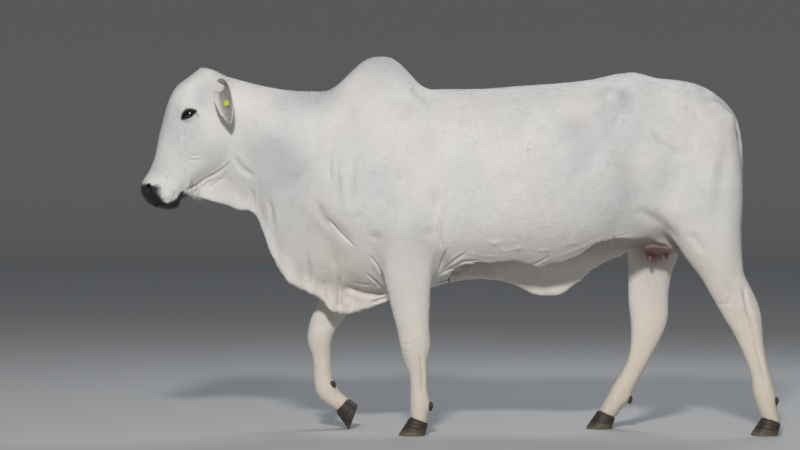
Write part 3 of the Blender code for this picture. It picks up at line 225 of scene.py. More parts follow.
# Forms under the hide, as a sculptor adds them before the skin is closed: muscle, bone and sinew.
# Centre with the distance out, reach each way, lean in degrees towards the tail, height, and the
# side it is on: -1 left, 1 right, 0 both.
SWELLINGS = (
    ((-0.395, 0.17, 1.200), (0.030, 0.15, 0.130), 12, 0.004, 0),       # ridge of the shoulder blade
    ((-0.330, 0.20, 1.090), (0.030, 0.15, 0.120), 12, -0.004, 0),      # hollow behind that ridge
    ((-0.200, 0.24, 0.870), (0.055, 0.12, 0.085), -12, 0.009, 0),      # long head of the triceps
    ((-0.300, 0.22, 0.800), (0.050, 0.12, 0.055), -25, 0.006, 0),      # side head of the triceps
    ((-0.268, 0.22, 0.925), (0.032, 0.12, 0.045), 10, -0.006, 0),      # between them
    ((-0.405, 0.20, 0.880), (0.040, 0.12, 0.040), 0, 0.005, 0),        # point of the shoulder
    ((-0.393, 0.20, 0.868), (0.022, 0.12, 0.016), -30, -0.006, 0),
    ((-0.330, 0.20, 0.785), (0.022, 0.12, 0.016), 0, -0.006, 0),
    ((-0.115, 0.20, 0.803), (0.022, 0.12, 0.020), 0, -0.006, 0),
    ((-0.700, 0.10, 1.180), (0.110, 0.10, 0.045), 0, 0.006, 0),        # band of muscle down the neck
    ((-0.660, 0.11, 1.010), (0.085, 0.10, 0.030), -38, -0.008, 0),     # jugular furrow under it
    ((-0.560, 0.10, 0.700), (0.060, 0.10, 0.080), 0, 0.006, 0),        # loose brisket
    ((0.100, 0.28, 1.020), (0.080, 0.20, 0.160), 10, -0.003, 0),
    ((0.300, 0.30, 0.820), (0.180, 0.20, 0.060), 0, 0.004, 0),         # swell of the paunch
    ((0.607, 0.20, 1.322), (0.038, 0.10, 0.048), 0, 0.008, 0),         # corner of the hook bone
    ((0.531, 0.22, 1.336), (0.032, 0.12, 0.045), 0, -0.007, 0),        # hollow before it
    ((-0.060, 0.22, 0.650), (0.030, 0.12, 0.075), -15, -0.022, 0),     # pit of the elbow
    ((0.138, 0.27, 0.762), (0.016, 0.12, 0.010), 0, 0.004, 0),         # lumps of fat along the belly's edge
    ((0.229, 0.27, 0.740), (0.014, 0.12, 0.009), 0, 0.004, 0),
    ((0.326, 0.26, 0.733), (0.020, 0.12, 0.009), 0, 0.004, 0),
    ((0.443, 0.25, 0.760), (0.024, 0.12, 0.010), 0, 0.004, 0),
    ((-0.470, 0.14, 0.900), (0.045, 0.10, 0.050), 0, 0.006, 0),
    ((-0.440, 0.10, 0.640), (0.050, 0.10, 0.060), 0, 0.007, 0),        # loose folds of the dewlap
    ((-0.560, 0.08, 0.620), (0.030, 0.10, 0.070), 0, 0.006, 0),
    ((0.700, 0.16, 1.370), (0.070, 0.08, 0.030), 0, 0.005, 0),         # rump muscle
    ((0.780, 0.22, 1.000), (0.060, 0.14, 0.130), -12, 0.006, 0),       # front of the thigh
    ((1.000, 0.18, 1.080), (0.035, 0.12, 0.110), 4, 0.006, 0),         # ham
    ((0.990, 0.06, 1.372), (0.045, 0.035, 0.025), 0, -0.008, 0),       # pits each side of the tail root
    ((-0.206, 0.20, 0.342), (0.022, 0.06, 0.030), 0, 0.004, -1),       # knee
    ((-0.165, 0.20, 0.395), (0.030, 0.06, 0.030), 0, 0.003, -1),
    ((-0.560, 0.20, 0.360), (0.030, 0.06, 0.032), 0, 0.004, 1),
    ((1.162, 0.15, 0.470), (0.022, 0.06, 0.022), 0, 0.006, -1),        # point of the hock
    ((1.105, 0.19, 0.505), (0.030, 0.05, 0.030), 0, 0.004, -1),
    ((0.812, 0.15, 0.500), (0.022, 0.06, 0.022), 0, 0.005, 1),
    ((0.770, 0.19, 0.500), (0.030, 0.05, 0.030), 0, 0.004, 1),
    ((-0.154, 0.19, 0.130), (0.030, 0.04, 0.024), 0, 0.003, -1),       # fetlocks
    ((-0.538, 0.19, 0.155), (0.030, 0.04, 0.024), 0, 0.003, 1),
    ((1.208, 0.19, 0.160), (0.030, 0.04, 0.024), 0, 0.003, -1),
    ((0.672, 0.19, 0.150), (0.030, 0.04, 0.024), 0, 0.003, 1),
)

# skin that rises round the foot of each dewclaw, inner and outer: x, z and side
MOUNDS = ((-0.121, 0.118, -1), (-0.511, 0.173, 1), (1.242, 0.139, -1), (0.691, 0.122, 1))

# Folds and furrows, drawn from the side: the line in x and z, half width, depth and side. A negative
# depth is a ridge, such as a vein or a pleat that stands up.
FOLDS = (
    (((-0.572, 0.930), (-0.533, 0.851), (-0.482, 0.812), (-0.416, 0.750)), 0.0170, 0.0075, 0),
    (((-0.447, 0.578), (-0.423, 0.574), (-0.377, 0.558), (-0.330, 0.553), (-0.283, 0.554)), 0.0100, 0.0130, 0),
    (((-0.599, 0.703), (-0.597, 0.637), (-0.599, 0.578)), 0.0100, 0.0060, 0),
    (((-0.533, 0.605), (-0.537, 0.570), (-0.537, 0.531)), 0.0090, 0.0060, 0),
    (((-0.478, 0.633), (-0.474, 0.554), (-0.474, 0.492)), 0.0100, 0.0070, 0),
    (((-0.506, 0.687), (-0.494, 0.609), (-0.490, 0.539)), 0.0120, -0.0050, 0),
    (((-0.431, 0.515), (-0.439, 0.492), (-0.447, 0.469)), 0.0080, 0.0050, 0),
    (((-0.092, 0.988), (-0.086, 0.910), (-0.078, 0.820), (-0.074, 0.726)), 0.0220, 0.0065, 0),
    (((-0.189, 1.383), (-0.162, 1.356), (-0.119, 1.320)), 0.0160, 0.0080, 0),
    (((-0.506, 1.135), (-0.509, 1.063), (-0.509, 0.994)), 0.0130, 0.0040, 0),
    (((-0.412, 1.127), (-0.416, 1.055), (-0.423, 1.008), (-0.423, 0.943)), 0.0130, 0.0040, 0),
    (((-0.463, 1.063), (-0.455, 0.977), (-0.447, 0.875)), 0.0120, -0.0045, 0),
    (((-0.365, 1.086), (-0.369, 0.949)), 0.0140, 0.0040, 0),
    (((-0.478, 1.094), (-0.478, 1.016)), 0.0120, 0.0025, 0),
    (((0.690, 0.900), (0.716, 0.882), (0.783, 0.842), (0.841, 0.785), (0.873, 0.750)), 0.0190, 0.0080, 0),
    (((0.897, 0.802), (0.930, 0.769), (0.960, 0.728)), 0.0150, 0.0055, 0),
    (((0.745, 1.208), (0.800, 1.168), (0.849, 1.140), (0.930, 1.126)), 0.0280, 0.0105, 0),
    (((0.542, 1.298), (0.580, 1.264), (0.630, 1.234)), 0.0220, 0.0080, 0),                       # below the hook bone
    (((0.465, 1.025), (0.520, 1.110), (0.575, 1.185), (0.615, 1.240)), 0.0430, 0.0085, 0),
    (((0.261, 1.301), (0.300, 1.256), (0.339, 1.198)), 0.0260, 0.0040, 0),                       # between the ribs
    (((0.235, 1.198), (0.287, 1.139)), 0.0240, 0.0035, 0),
    (((0.130, 1.250), (0.170, 1.150), (0.190, 1.040)), 0.0240, 0.0025, 0),
    (((0.890, 1.305), (0.925, 1.289), (0.944, 1.242)), 0.0200, 0.0040, 0),
    (((1.046, 1.133), (1.026, 1.047), (1.015, 0.961)), 0.0220, 0.0025, 0),
    (((1.003, 1.203), (0.983, 1.086)), 0.0220, 0.0025, 0),
    (((1.116, 0.586), (1.128, 0.531), (1.136, 0.492), (1.163, 0.429)), 0.0080, 0.0080, -1),
    (((1.045, 0.600), (1.068, 0.560), (1.054, 0.510)), 0.0110, 0.0040, -1),
    (((0.806, 0.590), (0.800, 0.530), (0.790, 0.470)), 0.0080, 0.0070, 1),
    (((-0.245, 1.055), (-0.227, 1.008)), 0.0080, 0.0030, -1),
    (((-0.152, 0.330), (-0.144, 0.250), (-0.143, 0.170)), 0.0070, 0.0045, -1),
    (((-0.546, 0.310), (-0.536, 0.250), (-0.530, 0.190)), 0.0070, 0.0045, 1),
    (((1.158, 0.400), (1.184, 0.300), (1.208, 0.200)), 0.0070, 0.0045, -1),
    (((0.766, 0.370), (0.732, 0.270), (0.694, 0.195)), 0.0070, 0.0045, 1),
    (((-1.089, 1.198), (-1.087, 1.158), (-1.083, 1.108)), 0.0070, 0.0030, 0),                    # cheek
    (((-0.993, 1.118), (-0.988, 1.078), (-0.993, 1.043)), 0.0090, 0.0030, 0),
    (((-1.090, 1.053), (-1.083, 1.028), (-1.080, 0.988)), 0.0070, 0.0035, 0),
    (((-0.978, 1.327), (-0.968, 1.287), (-0.968, 1.247)), 0.0120, 0.0030, 0),
    (((-0.888, 1.098), (-0.863, 1.053), (-0.819, 1.026)), 0.0110, 0.0055, 0),                    # throat
    (((-0.821, 0.968), (-0.820, 0.928), (-0.821, 0.884)), 0.0070, 0.0065, 0),
    (((-0.754, 0.928), (-0.746, 0.879), (-0.739, 0.819)), 0.0090, 0.0060, 0),
)
FINE_FOLDS = (
    (((-0.348, 0.707), (-0.324, 0.676), (-0.304, 0.635), (-0.292, 0.586)), 0.0045, 0.0070, 0),
    (((-0.365, 0.637), (-0.328, 0.606), (-0.284, 0.562)), 0.0045, 0.0070, 0),
    (((-0.420, 0.601), (-0.388, 0.594), (-0.345, 0.590)), 0.0050, 0.0035, 0),
    (((-0.341, 0.519), (-0.308, 0.531), (-0.275, 0.537)), 0.0055, 0.0100, -1),
    (((-0.047, 0.740), (-0.064, 0.694), (-0.080, 0.644)), 0.0055, 0.0055, 0),
    (((0.030, 0.728), (-0.014, 0.695), (-0.071, 0.648)), 0.0050, 0.0045, 0),
    (((0.081, 0.690), (0.016, 0.686), (-0.022, 0.665), (-0.078, 0.634)), 0.0060, 0.0055, 0),
    (((0.020, 0.650), (-0.035, 0.634), (-0.083, 0.608)), 0.0045, 0.0035, 0),
    (((0.096, 0.773), (0.131, 0.758), (0.171, 0.730), (0.206, 0.734), (0.241, 0.746)), 0.0060, -0.0009, 0),
    (((-0.029, 0.703), (0.026, 0.726), (0.081, 0.711), (0.159, 0.707)), 0.0060, -0.0012, 0),
    (((0.284, 0.672), (0.319, 0.689), (0.350, 0.707)), 0.0050, 0.0028, 0),
    (((0.393, 0.711), (0.491, 0.746), (0.577, 0.789)), 0.0060, -0.0012, 0),
    (((-0.504, 1.100), (-0.508, 1.060), (-0.511, 1.022)), 0.0034, 0.0022, 0),                    # slits on the neck
    (((-0.417, 1.080), (-0.420, 1.040)), 0.0034, 0.0014, 0),
    (((-0.078, 0.868), (-0.077, 0.800), (-0.072, 0.738)), 0.0060, 0.0045, 0),                    # behind the elbow
    (((0.628, 0.788), (0.655, 0.795), (0.683, 0.797)), 0.0032, 0.0012, 0),
    (((-0.512, 0.850), (-0.490, 0.826), (-0.460, 0.792), (-0.411, 0.746)), 0.0040, 0.0055, 0),
    (((1.007, 0.519), (1.042, 0.521), (1.090, 0.519)), 0.0050, 0.0012, -1),
    (((-0.224, 0.361), (-0.209, 0.365), (-0.193, 0.361)), 0.0034, 0.0025, -1),
    (((-0.222, 0.336), (-0.209, 0.332), (-0.197, 0.336)), 0.0034, 0.0022, -1),
    (((-0.540, 0.408), (-0.504, 0.416)), 0.0034, 0.0045, 1),
    (((-0.540, 0.388), (-0.496, 0.398)), 0.0034, 0.0045, 1),
    (((-0.536, 0.367), (-0.494, 0.375)), 0.0034, 0.0045, 1),
    (((-0.536, 0.347), (-0.500, 0.351)), 0.0034, 0.0040, 1),
    (((-1.083, 0.968), (-1.048, 0.986), (-1.008, 1.013), (-0.968, 1.033), (-0.938, 1.053), (-0.898, 1.088)),
     0.0045, 0.0065, 0),                                                                         # jaw
    (((-0.993, 0.978), (-0.963, 0.998), (-0.928, 1.028)), 0.0060, 0.0040, 0),
    (((-1.205, 1.038), (-1.187, 1.036), (-1.175, 1.026), (-1.157, 1.006)), 0.0030, 0.0020, 0),  # over the nostril
    (((-1.212, 1.026), (-1.192, 1.024)), 0.0028, 0.0016, 0),
    (((-1.073, 1.093), (-1.053, 1.085), (-1.030, 1.090)), 0.0040, 0.0018, 0),
    (((-1.063, 1.110), (-1.043, 1.103), (-1.028, 1.109)), 0.0040, 0.0016, 0),
    (((-1.080, 1.228), (-1.075, 1.210), (-1.060, 1.205)), 0.0032, 0.0020, 0),                    # under the eye
)

# Wrinkles that run side by side: middle, reach each way, the way from one to the next, spacing, height
WRINKLES = (
    ((-0.560, 0.0, 1.335), (0.075, 0.10, 0.050), (0.956, 0.0, 0.292), 0.0150, 0.0020),    # neck crest
    ((-0.900, 0.08, 1.020), (0.050, 0.06, 0.060), (0.900, 0.0, -0.440), 0.0240, 0.0018),  # throat
    ((-0.150, 0.15, 0.078), (0.060, 0.09, 0.020), (-0.200, 0.0, 0.980), 0.0110, 0.0012),  # pasterns
    ((1.232, 0.15, 0.080), (0.060, 0.09, 0.020), (-0.300, 0.0, 0.950), 0.0110, 0.0012),
    ((0.618, 0.15, 0.080), (0.060, 0.09, 0.020), (0.300, 0.0, 0.950), 0.0110, 0.0012),
    ((-0.490, 0.15, 0.115), (0.050, 0.09, 0.030), (-0.800, 0.0, 0.600), 0.0110, 0.0012),
)
# the lower edge of the belly's side and on up the flank fold, in x and z, and how far out its rim is
BELLY_EDGE = (
    (-0.060, 0.655), (-0.031, 0.660), (0.059, 0.683), (0.126, 0.681), (0.203, 0.690), (0.266, 0.678),
    (0.319, 0.661), (0.355, 0.674), (0.418, 0.687), (0.485, 0.719), (0.530, 0.755), (0.597, 0.775),
    (0.640, 0.777), (0.698, 0.773), (0.752, 0.752), (0.819, 0.728), (0.855, 0.706), (0.895, 0.670),
)
BELLY_EDGE_OUT = 0.143
RECESS = 0.022                                   # how far the underside rises behind that edge
TRUNK_FLOOR = 0.5                                # what lies lower is leg
FOLD_SWING = ((0.10, 0.20, 0.50), (0.034, 0.009, 0.004))    # x, and how far the middle fold hangs to the left
UDDER = ((0.790, 0.0, 0.690), (0.090, 0.100, 0.120))
UDDER_TOP = 0.735
FLANK_FOLDS = (((0.825, -0.150, 0.785), (0.085, 0.130, 0.080)), ((0.730, 0.160, 0.800), (0.070, 0.130, 0.070)))
REGION_KEPT = ((-1.0, 0.0, 1.15), (0.14, 0.20, 0.26))   # where the head is reduced less than the body


def bell(points, centre, reach, lean=0.0):
    """exp(-r^2), where r is the distance from the centre in units of the reach, on axes tipped by lean."""
    away = points - np.array(centre)
    turn = math.radians(lean)
    x = away[:, 0] * math.cos(turn) - away[:, 2] * math.sin(turn)
    z = away[:, 0] * math.sin(turn) + away[:, 2] * math.cos(turn)
    return np.exp(-((x / reach[0]) ** 2 + (away[:, 1] / reach[1]) ** 2 + (z / reach[2]) ** 2))


def off_line(flat, line):
    """Distance of each point from a bent line, and how far along that line, from 0 to 1, its nearest place is."""
    line = np.asarray(line, float)
    steps = np.linalg.norm(np.diff(line, axis=0), axis=1)
    starts = np.concatenate([[0.0], np.cumsum(steps)])
    nearest = np.full(len(flat), np.inf)
    place = np.zeros(len(flat))
    for first, last, start, step in zip(line[:-1], line[1:], starts, steps):
        t = np.clip((flat - first) @ (last - first) / step**2, 0, 1)
        away = np.linalg.norm(flat - first - t[:, None] * (last - first), axis=1)
        closer = away < nearest
        nearest[closer] = away[closer]
        place[closer] = (start + t[closer] * step) / starts[-1]
    return nearest, place


def on_side(points, normals, side):
    """1 on skin that faces out on the side asked for, fading to 0 where it faces in or straight up."""
    facing = np.clip(normals[:, 1] * np.sign(points[:, 1]) * 2.5, 0, 1)
    return facing if side == 0 else facing * (np.sign(points[:, 1]) == side)


def beside(points, line, reach):
    """Points that lie, seen from the side, in the oblong round a line with a margin of reach: which they
    are, and their x and z."""
    flat = points[:, [0, 2]]
    low = np.min(line, axis=0) - reach
    high = np.max(line, axis=0) + reach
    near = np.flatnonzero(((flat > low) & (flat < high)).all(axis=1))
    return near, flat[near]


def folded(points, normals, folds):
    """Height added by folds: a bell-shaped groove with two low swells beside it, dying away at its ends."""
    height = np.zeros(len(points))
    for line, width, depth, side in folds:
        near, flat = beside(points, line, 4 * width)
        away, place = off_line(flat, line)
        ends = np.clip(np.minimum(place, 1 - place) / 0.22 + 0.15, 0, 1)
        swell = 0.32 if width < 0.012 else 0.15
        groove = bell_curve(away, width) - swell * bell_curve(away - 2.1 * width, 1.1 * width)
        height[near] -= depth * groove * ends * on_side(points[near], normals[near], side)
    return height


def mirrored_points(points):
    return np.column_stack([points[:, 0], np.abs(points[:, 1]), points[:, 2]])


# the fold of skin from the flank to the stifle is worked over until no step is left at the thigh
points = points_of(hide.data)
share = sum(bell(points, *middle_and_reach) for middle_and_reach in FLANK_FOLDS)
near = np.flatnonzero(share > 0.10)
place = np.full(len(points), -1)
place[near] = np.arange(len(near))
joins = place[edges_of(hide.data)]
joins = joins[(joins >= 0).all(axis=1)]
points[near] = relaxed(points[near], joins, 160, ramp(share[near, None] - 0.15, 0.35), outward=0.0)

# the side of the belly overhangs: behind its lower edge the underside lies higher, and only the fold
# of skin along the middle, which swings to the left, and the udder hang down past it
x, y, z = points.T
edge = np.interp(x, *np.transpose(BELLY_EDGE)) + 0.0015 * np.sin(93 * x)
out = np.abs(y)
inside = ramp(out - 0.014 - 0.40 * np.clip(x - 0.60, 0, 0.1), 0.022) * ramp(0.26 - out, 0.02)
inside *= ramp(x + 0.04, 0.05) * ramp(np.where(y < 0, 0.89, 0.60) - x, 0.04)
inside *= np.where(x > 0.80, ramp(0.14 - out, 0.02), 1)
recess = edge + RECESS * ramp(BELLY_EDGE_OUT - out, 0.020)
udder = bell(points, *UDDER) > 0.30
points[:, 2] += np.where((z > TRUNK_FLOOR) & ~(udder & (out < 0.06)), np.clip(recess - z, 0, None), 0) * inside
low = ramp(UDDER_TOP - z, 0.03) * udder
points[:, 2] += 0.45 * np.clip(UDDER_TOP - z, 0, None) * low
points[:, 1] += (0.020 - 0.60 * points[:, 1]) * low
swung = (out < 0.05) * ramp(edge - points[:, 2], 0.05)
swung = swung * ramp(x + 0.10, 0.08) * ramp(0.66 - x, 0.08)
points[:, 1] -= np.interp(x, *FOLD_SWING) * swung * (z > TRUNK_FLOOR)
set_points(hide.data, points)

normals = normals_of(hide.data)
half = mirrored_points(points)
height = folded(points, normals, FOLDS)
for centre, reach, lean, rise, side in SWELLINGS:
    height += rise * bell(half, centre, reach, lean) * on_side(points, normals, side)
for x, z, side in MOUNDS:
    for y in (0.130, 0.170):
        height += 0.009 * bell(points, (x, side * y, z), (0.020, 0.015, 0.020))
for centre, reach, way, spacing, rise in WRINKLES:
    warp = 0.004 * np.sin(points[:, 2] * 61.0 + points[:, 0] * 37.0)
    wave = np.abs(np.cos(math.pi * (points @ np.array(way) + warp) / spacing)) - 0.6
    height += rise * wave * bell(half, centre, reach)
height -= COAT_DEPTH * np.clip((points[:, 0] + 0.93) / 0.08, 0.35, 1)
set_points(hide.data, points + normals * height[:, None])

# fewer triangles, spent where the skin is worked most
points = points_of(hide.data)
kept = bell(mirrored_points(points), *REGION_KEPT) > 0.37
freedom = np.where(kept, 0.55, 1.0)
for line, width, *_ in FINE_FOLDS:
    away, _ = off_line(points[:, [0, 2]], line)
    freedom[away < 4 * width] = 0.15
group = hide.vertex_groups.new(name="freedom")
for level in np.unique(freedom):
    group.add(np.flatnonzero(freedom == level).tolist(), float(level), "REPLACE")
reduce = hide.modifiers.new("reduce", "DECIMATE")
reduce.ratio = SKIN_TRIANGLES / (2 * len(hide.data.polygons))
reduce.vertex_group = "freedom"
reduce.vertex_group_factor = 0.0002
applied(hide)
hide.vertex_groups.clear()


# The face: lids round the eye, nostrils, lips and chin. They are cut after the skin is reduced, on
# triangles split finer where they lie. The head has a frame of its own: s runs from the poll to
# the nose, f towards the forehead.

POLL = Vector((-0.984, 0.0, 1.376))
HEAD_ALONG = Vector((-1.0, 0.0, -2.0)).normalized()
HEAD_FRONT = Vector((-2.0, 0.0, 1.0)).normalized()
HEAD_AXES = np.array((HEAD_ALONG, HEAD_FRONT, (0.0, 1.0, 0.0)))

EYE_RADII = (0.0325, 0.0270, 0.0200)             # along the lids, across them and outwards
EYE_PLACE = (0.135, 0.0255, 0.0842)              # s, f and distance from the midline
EYE_SLANT = math.radians(35)
LID_HALF = 0.0280                                # half the length of the opening
LID_SHIFT = 0.0015                               # how far back its middle lies from the eyeball's
LID_UPPER = 0.0182                               # how high the upper lid arches, and the lower one sags
LID_LOWER = 0.0088
LID_OVER = 0.0032                                # how far the lids stand over the eyeball
LID_DOME = (0.0372, 0.0320)                      # reach of their dome, along and across
MOUTH_LINE = ((0.540, 0.004), (0.524, -0.004), (0.505, -0.030), (0.488, -0.056), (0.460, -0.078), (0.429, -0.079))
NOSTRIL_PLACE = (0.468, 0.042)
NOSTRIL_RADII = (0.0185, 0.0100)
NOSTRIL_TURN = math.radians(-38)
NOSTRIL_DEPTH = 0.024
NOSTRIL_OUT = 0.025                              # its least distance from the midline
MUZZLE_X = -1.15                                 # the muzzle lies in front of this


def in_head(points):
    """s, f and y of points, in the head's frame."""
    return (points - np.array(POLL)) @ HEAD_AXES.T


def eye_frame(side):
    """Middle of an eye and its three axes: along the lids, across them and outwards."""
    s, f, out = EYE_PLACE
    middle = np.array(POLL + HEAD_ALONG * s + HEAD_FRONT * f) + (0, side * out, 0)
    along = np.array(HEAD_ALONG) * math.cos(EYE_SLANT) + np.array(HEAD_FRONT) * math.sin(EYE_SLANT)
    across = np.array(HEAD_FRONT) * math.cos(EYE_SLANT) - np.array(HEAD_ALONG) * math.sin(EYE_SLANT)
    return middle, np.array((along, across, (0, side, 0)))


def in_eye(points, side):
    """Places along the lids, across them and outwards, from the middle of the eye on that side."""
    middle, axes = eye_frame(side)
    return (points - middle) @ axes.T


def opening(u, v):
    """How far inside the almond between the lids a place is; negative outside it.

    The upper edge is LID_UPPER (1 - t^2)^0.75 and the lower one LID_LOWER (1 - t^2), with t the
    distance from the opening's middle over LID_HALF.
    """
    t = np.clip(np.abs(u - LID_SHIFT) / LID_HALF, 0, 1)
    upper = LID_UPPER * (1 - t**2) ** 0.75
    lower = -LID_LOWER * (1 - t**2)
    beyond = np.maximum(np.abs(u - LID_SHIFT) - LID_HALF, 0)
    return np.minimum(upper - v, v - lower) - beyond


def lid_dome(u, v):
    """Height of the lids' dome over the eyeball's middle, from 1 at its top to 0 at its rim."""
    return np.sqrt(np.clip(1 - (u / LID_DOME[0]) ** 2 - (v / LID_DOME[1]) ** 2, 0, 1))


def nostril_place(points):
    """Distance from the middle of the nostril in units of its radii: below 1 is inside it."""
    head = in_head(points)
    ds = head[:, 0] - NOSTRIL_PLACE[0]
    df = head[:, 1] - NOSTRIL_PLACE[1]
    long = ds * math.cos(NOSTRIL_TURN) + df * math.sin(NOSTRIL_TURN)
    wide = df * math.cos(NOSTRIL_TURN) - ds * math.sin(NOSTRIL_TURN) + 6.0 * long**2
    return np.hypot(long / NOSTRIL_RADII[0], wide / NOSTRIL_RADII[1])


def finer(thing, wanted):
    """Splits every triangle edge whose two ends are wanted."""
    a, b = edges_of(thing.data).T
    mesh = bmesh.new()
    mesh.from_mesh(thing.data)
    mesh.edges.ensure_lookup_table()
    chosen = [mesh.edges[i] for i in np.flatnonzero(wanted[a] & wanted[b])]
    bmesh.ops.subdivide_edges(mesh, edges=chosen, cuts=1)
    bmesh.ops.triangulate(mesh, faces=mesh.faces)
    mesh.to_mesh(thing.data)
    mesh.free()


def lid_near(points, reach):
    """Whether a point lies within reach of the edge of either eye's lids, on the outside of the head."""
    near = np.zeros(len(points), bool)
    for side in (-1, 1):
        u, v, w = in_eye(points, side).T
        near |= (np.abs(opening(u, v)) < reach) & (np.abs(w - 0.01) < 0.03)
    return near


def mouth_near(points, reach):
    head = in_head(points)
    away, _ = off_line(head[:, :2], MOUTH_LINE)
    return (away < reach) & (head[:, 0] > 0.40)


def on_muzzle(points):
    return (np.abs(points[:, 1]) > NOSTRIL_OUT) & (points[:, 0] < MUZZLE_X)


def nostril_near(points, reach):
    return (nostril_place(points) < reach) & on_muzzle(points)


def fold_near(points):
    near = np.zeros(len(points), bool)
    for line, width, *_ in FINE_FOLDS:
        boxed, flat = beside(points, line, 3 * width)
        away, _ = off_line(flat, line)
        near[boxed[away < 2.6 * width]] = True
    return near


points = points_of(hide.data)
finer(hide, lid_near(points, 0.030) | mouth_near(points, 0.016) | nostril_near(points, 2.6) | fold_near(points))
points = points_of(hide.data)
finer(hide, lid_near(points, 0.0060) | mouth_near(points, 0.0060) | nostril_near(points, 1.6))
points = points_of(hide.data)
finer(hide, lid_near(points, 0.0022) | mouth_near(points, 0.0022))

# the carved lids, lips and nostrils are rubbed down first
points = points_of(hide.data)
edges = edges_of(hide.data)
rubbed = (lid_near(points, 0.030) | mouth_near(points, 0.012) | nostril_near(points, 2.0)).astype(float)[:, None]
points = relaxed(points, edges, 14, rubbed, inward=0.6, outward=-0.2)
set_points(hide.data, points)
normals = normals_of(hide.data)

height = folded(points, normals, FINE_FOLDS)
head = in_head(points)
on_head = head[:, 0] > 0.36
# lips: a thin groove with a roll on either side of it
away, place = off_line(head[:, :2], MOUTH_LINE)
lips = 0.0016 * bell_curve(away - 0.0050, 0.0032) - 0.0075 * bell_curve(away, 0.0016)
height += lips * on_head * ramp(1 - place, 0.12)
# nostrils: a comma-shaped hollow inside a rolled rim
reach = nostril_place(points)
hollow = np.sqrt(np.clip(1 - reach**2, 0, 1))
height += on_muzzle(points) * (0.0022 * bell_curve(reach - 1.35, 0.35) - NOSTRIL_DEPTH * hollow)
# a shallow furrow down the middle of the muzzle
height -= 0.0020 * bell_curve(points[:, 1], 0.0030) * ramp(head[:, 0] - 0.500, 0.01)
points = points + normals * height[:, None]

# lids: a sheet LID_OVER above the eyeball, w = c sqrt(1 - (u/a)^2 - (v/b)^2), sunk behind it in the opening
for side in (-1, 1):
    u, v, w = in_eye(points, side).T
    near = (np.hypot(u / 0.050, v / 0.040) < 1) & (w > -0.010)
    bulge = lid_dome(u, v)
    sheet = (EYE_RADII[2] + LID_OVER) * bulge
    inside = opening(u, v)
    sheet += 0.0012 * bell_curve(inside + 0.0022, 0.0018)                     # rolled edge
    sheet -= 0.0022 * bell_curve(inside + 0.0090, 0.0022) * (v > 0)           # fold of the upper lid
    sheet -= 0.0014 * bell_curve(inside + 0.0075, 0.0018) * (v < 0)           # folds of the lower lid
    sheet -= 0.0012 * bell_curve(inside + 0.0130, 0.0020) * (v < 0)
    share = ramp(bulge - 0.25, 0.35)
    level = w + (np.maximum(w, sheet) - w) * ramp(bulge, 0.2)
    level = level + (sheet - level) * share
    eyeball = EYE_RADII[2] * np.sqrt(np.clip(1 - (u / EYE_RADII[0]) ** 2 - (v / EYE_RADII[1]) ** 2, 0, 1))
    drop = ramp(inside, 0.0012)
    level = level + (np.minimum(level, eyeball - 0.0060) - level) * drop
    points[near, 1] += side * (level - w)[near]
set_points(hide.data, points)
hide.data.shade_smooth()


# The colours of the hide: white hair on black skin, as every Nelore has. The skin shows at the
# muzzle, lips and eye rims, thinly in the ears and on the udder. The coat is greyer over the neck,
# hump and face, cream below, and dusty at the feet. Shade is painted in as well: darker creases,
# dark bare skin under the belly and between the thighs, and more grey on the hump, neck, shoulder,
# flank, hip, thigh and cheek.

WHITE_COAT = "#E2E0DE"
SHADED_COAT = "#DAD8D6"
# grey coat, also used as painted shade on hump, neck, shoulder, flank, hip, thigh and cheek
GREY_COAT_AND_SHADE = "#B3B4B8"
CREAM_COAT = "#E3D9CB"
DUST = "#B7A387"
# painted shade, laid into creases and folds
CREASE_SHADE = "#A09A96"
BARE_SKIN = "#8F8A8A"
# brown bare skin low down: the udder's own colour, and painted shade under the belly and between the thighs
UDDER_SKIN_AND_UNDER_SHADE = "#7C574C"
DARK_SKIN = "#151211"
EAR_PATH = ((-0.928, 0.060, 1.374), (-0.922, 0.105, 1.368), (-0.914, 0.146, 1.322), (-0.900, 0.166, 1.226))
EAR_REACH = 0.058                                # nothing of an ear lies further from its path
EAR_FACES = (-0.50, 0.80, 0.10)
EAR_PLACES = (0.00, 0.15, 0.30, 0.45, 0.60, 0.75, 0.90, 1.00)
EAR_HALVES = (0.024, 0.030, 0.037, 0.042, 0.041, 0.033, 0.017, 0.003)
PAD_EDGE_F = (-0.056, -0.039, -0.018, 0.0075, 0.052, 0.080)     # how far back the black nose reaches
PAD_EDGE_S = (0.492, 0.489, 0.480, 0.440, 0.456, 0.466)
LIP_DEPTH = 0.031                                                # of black under the mouth line

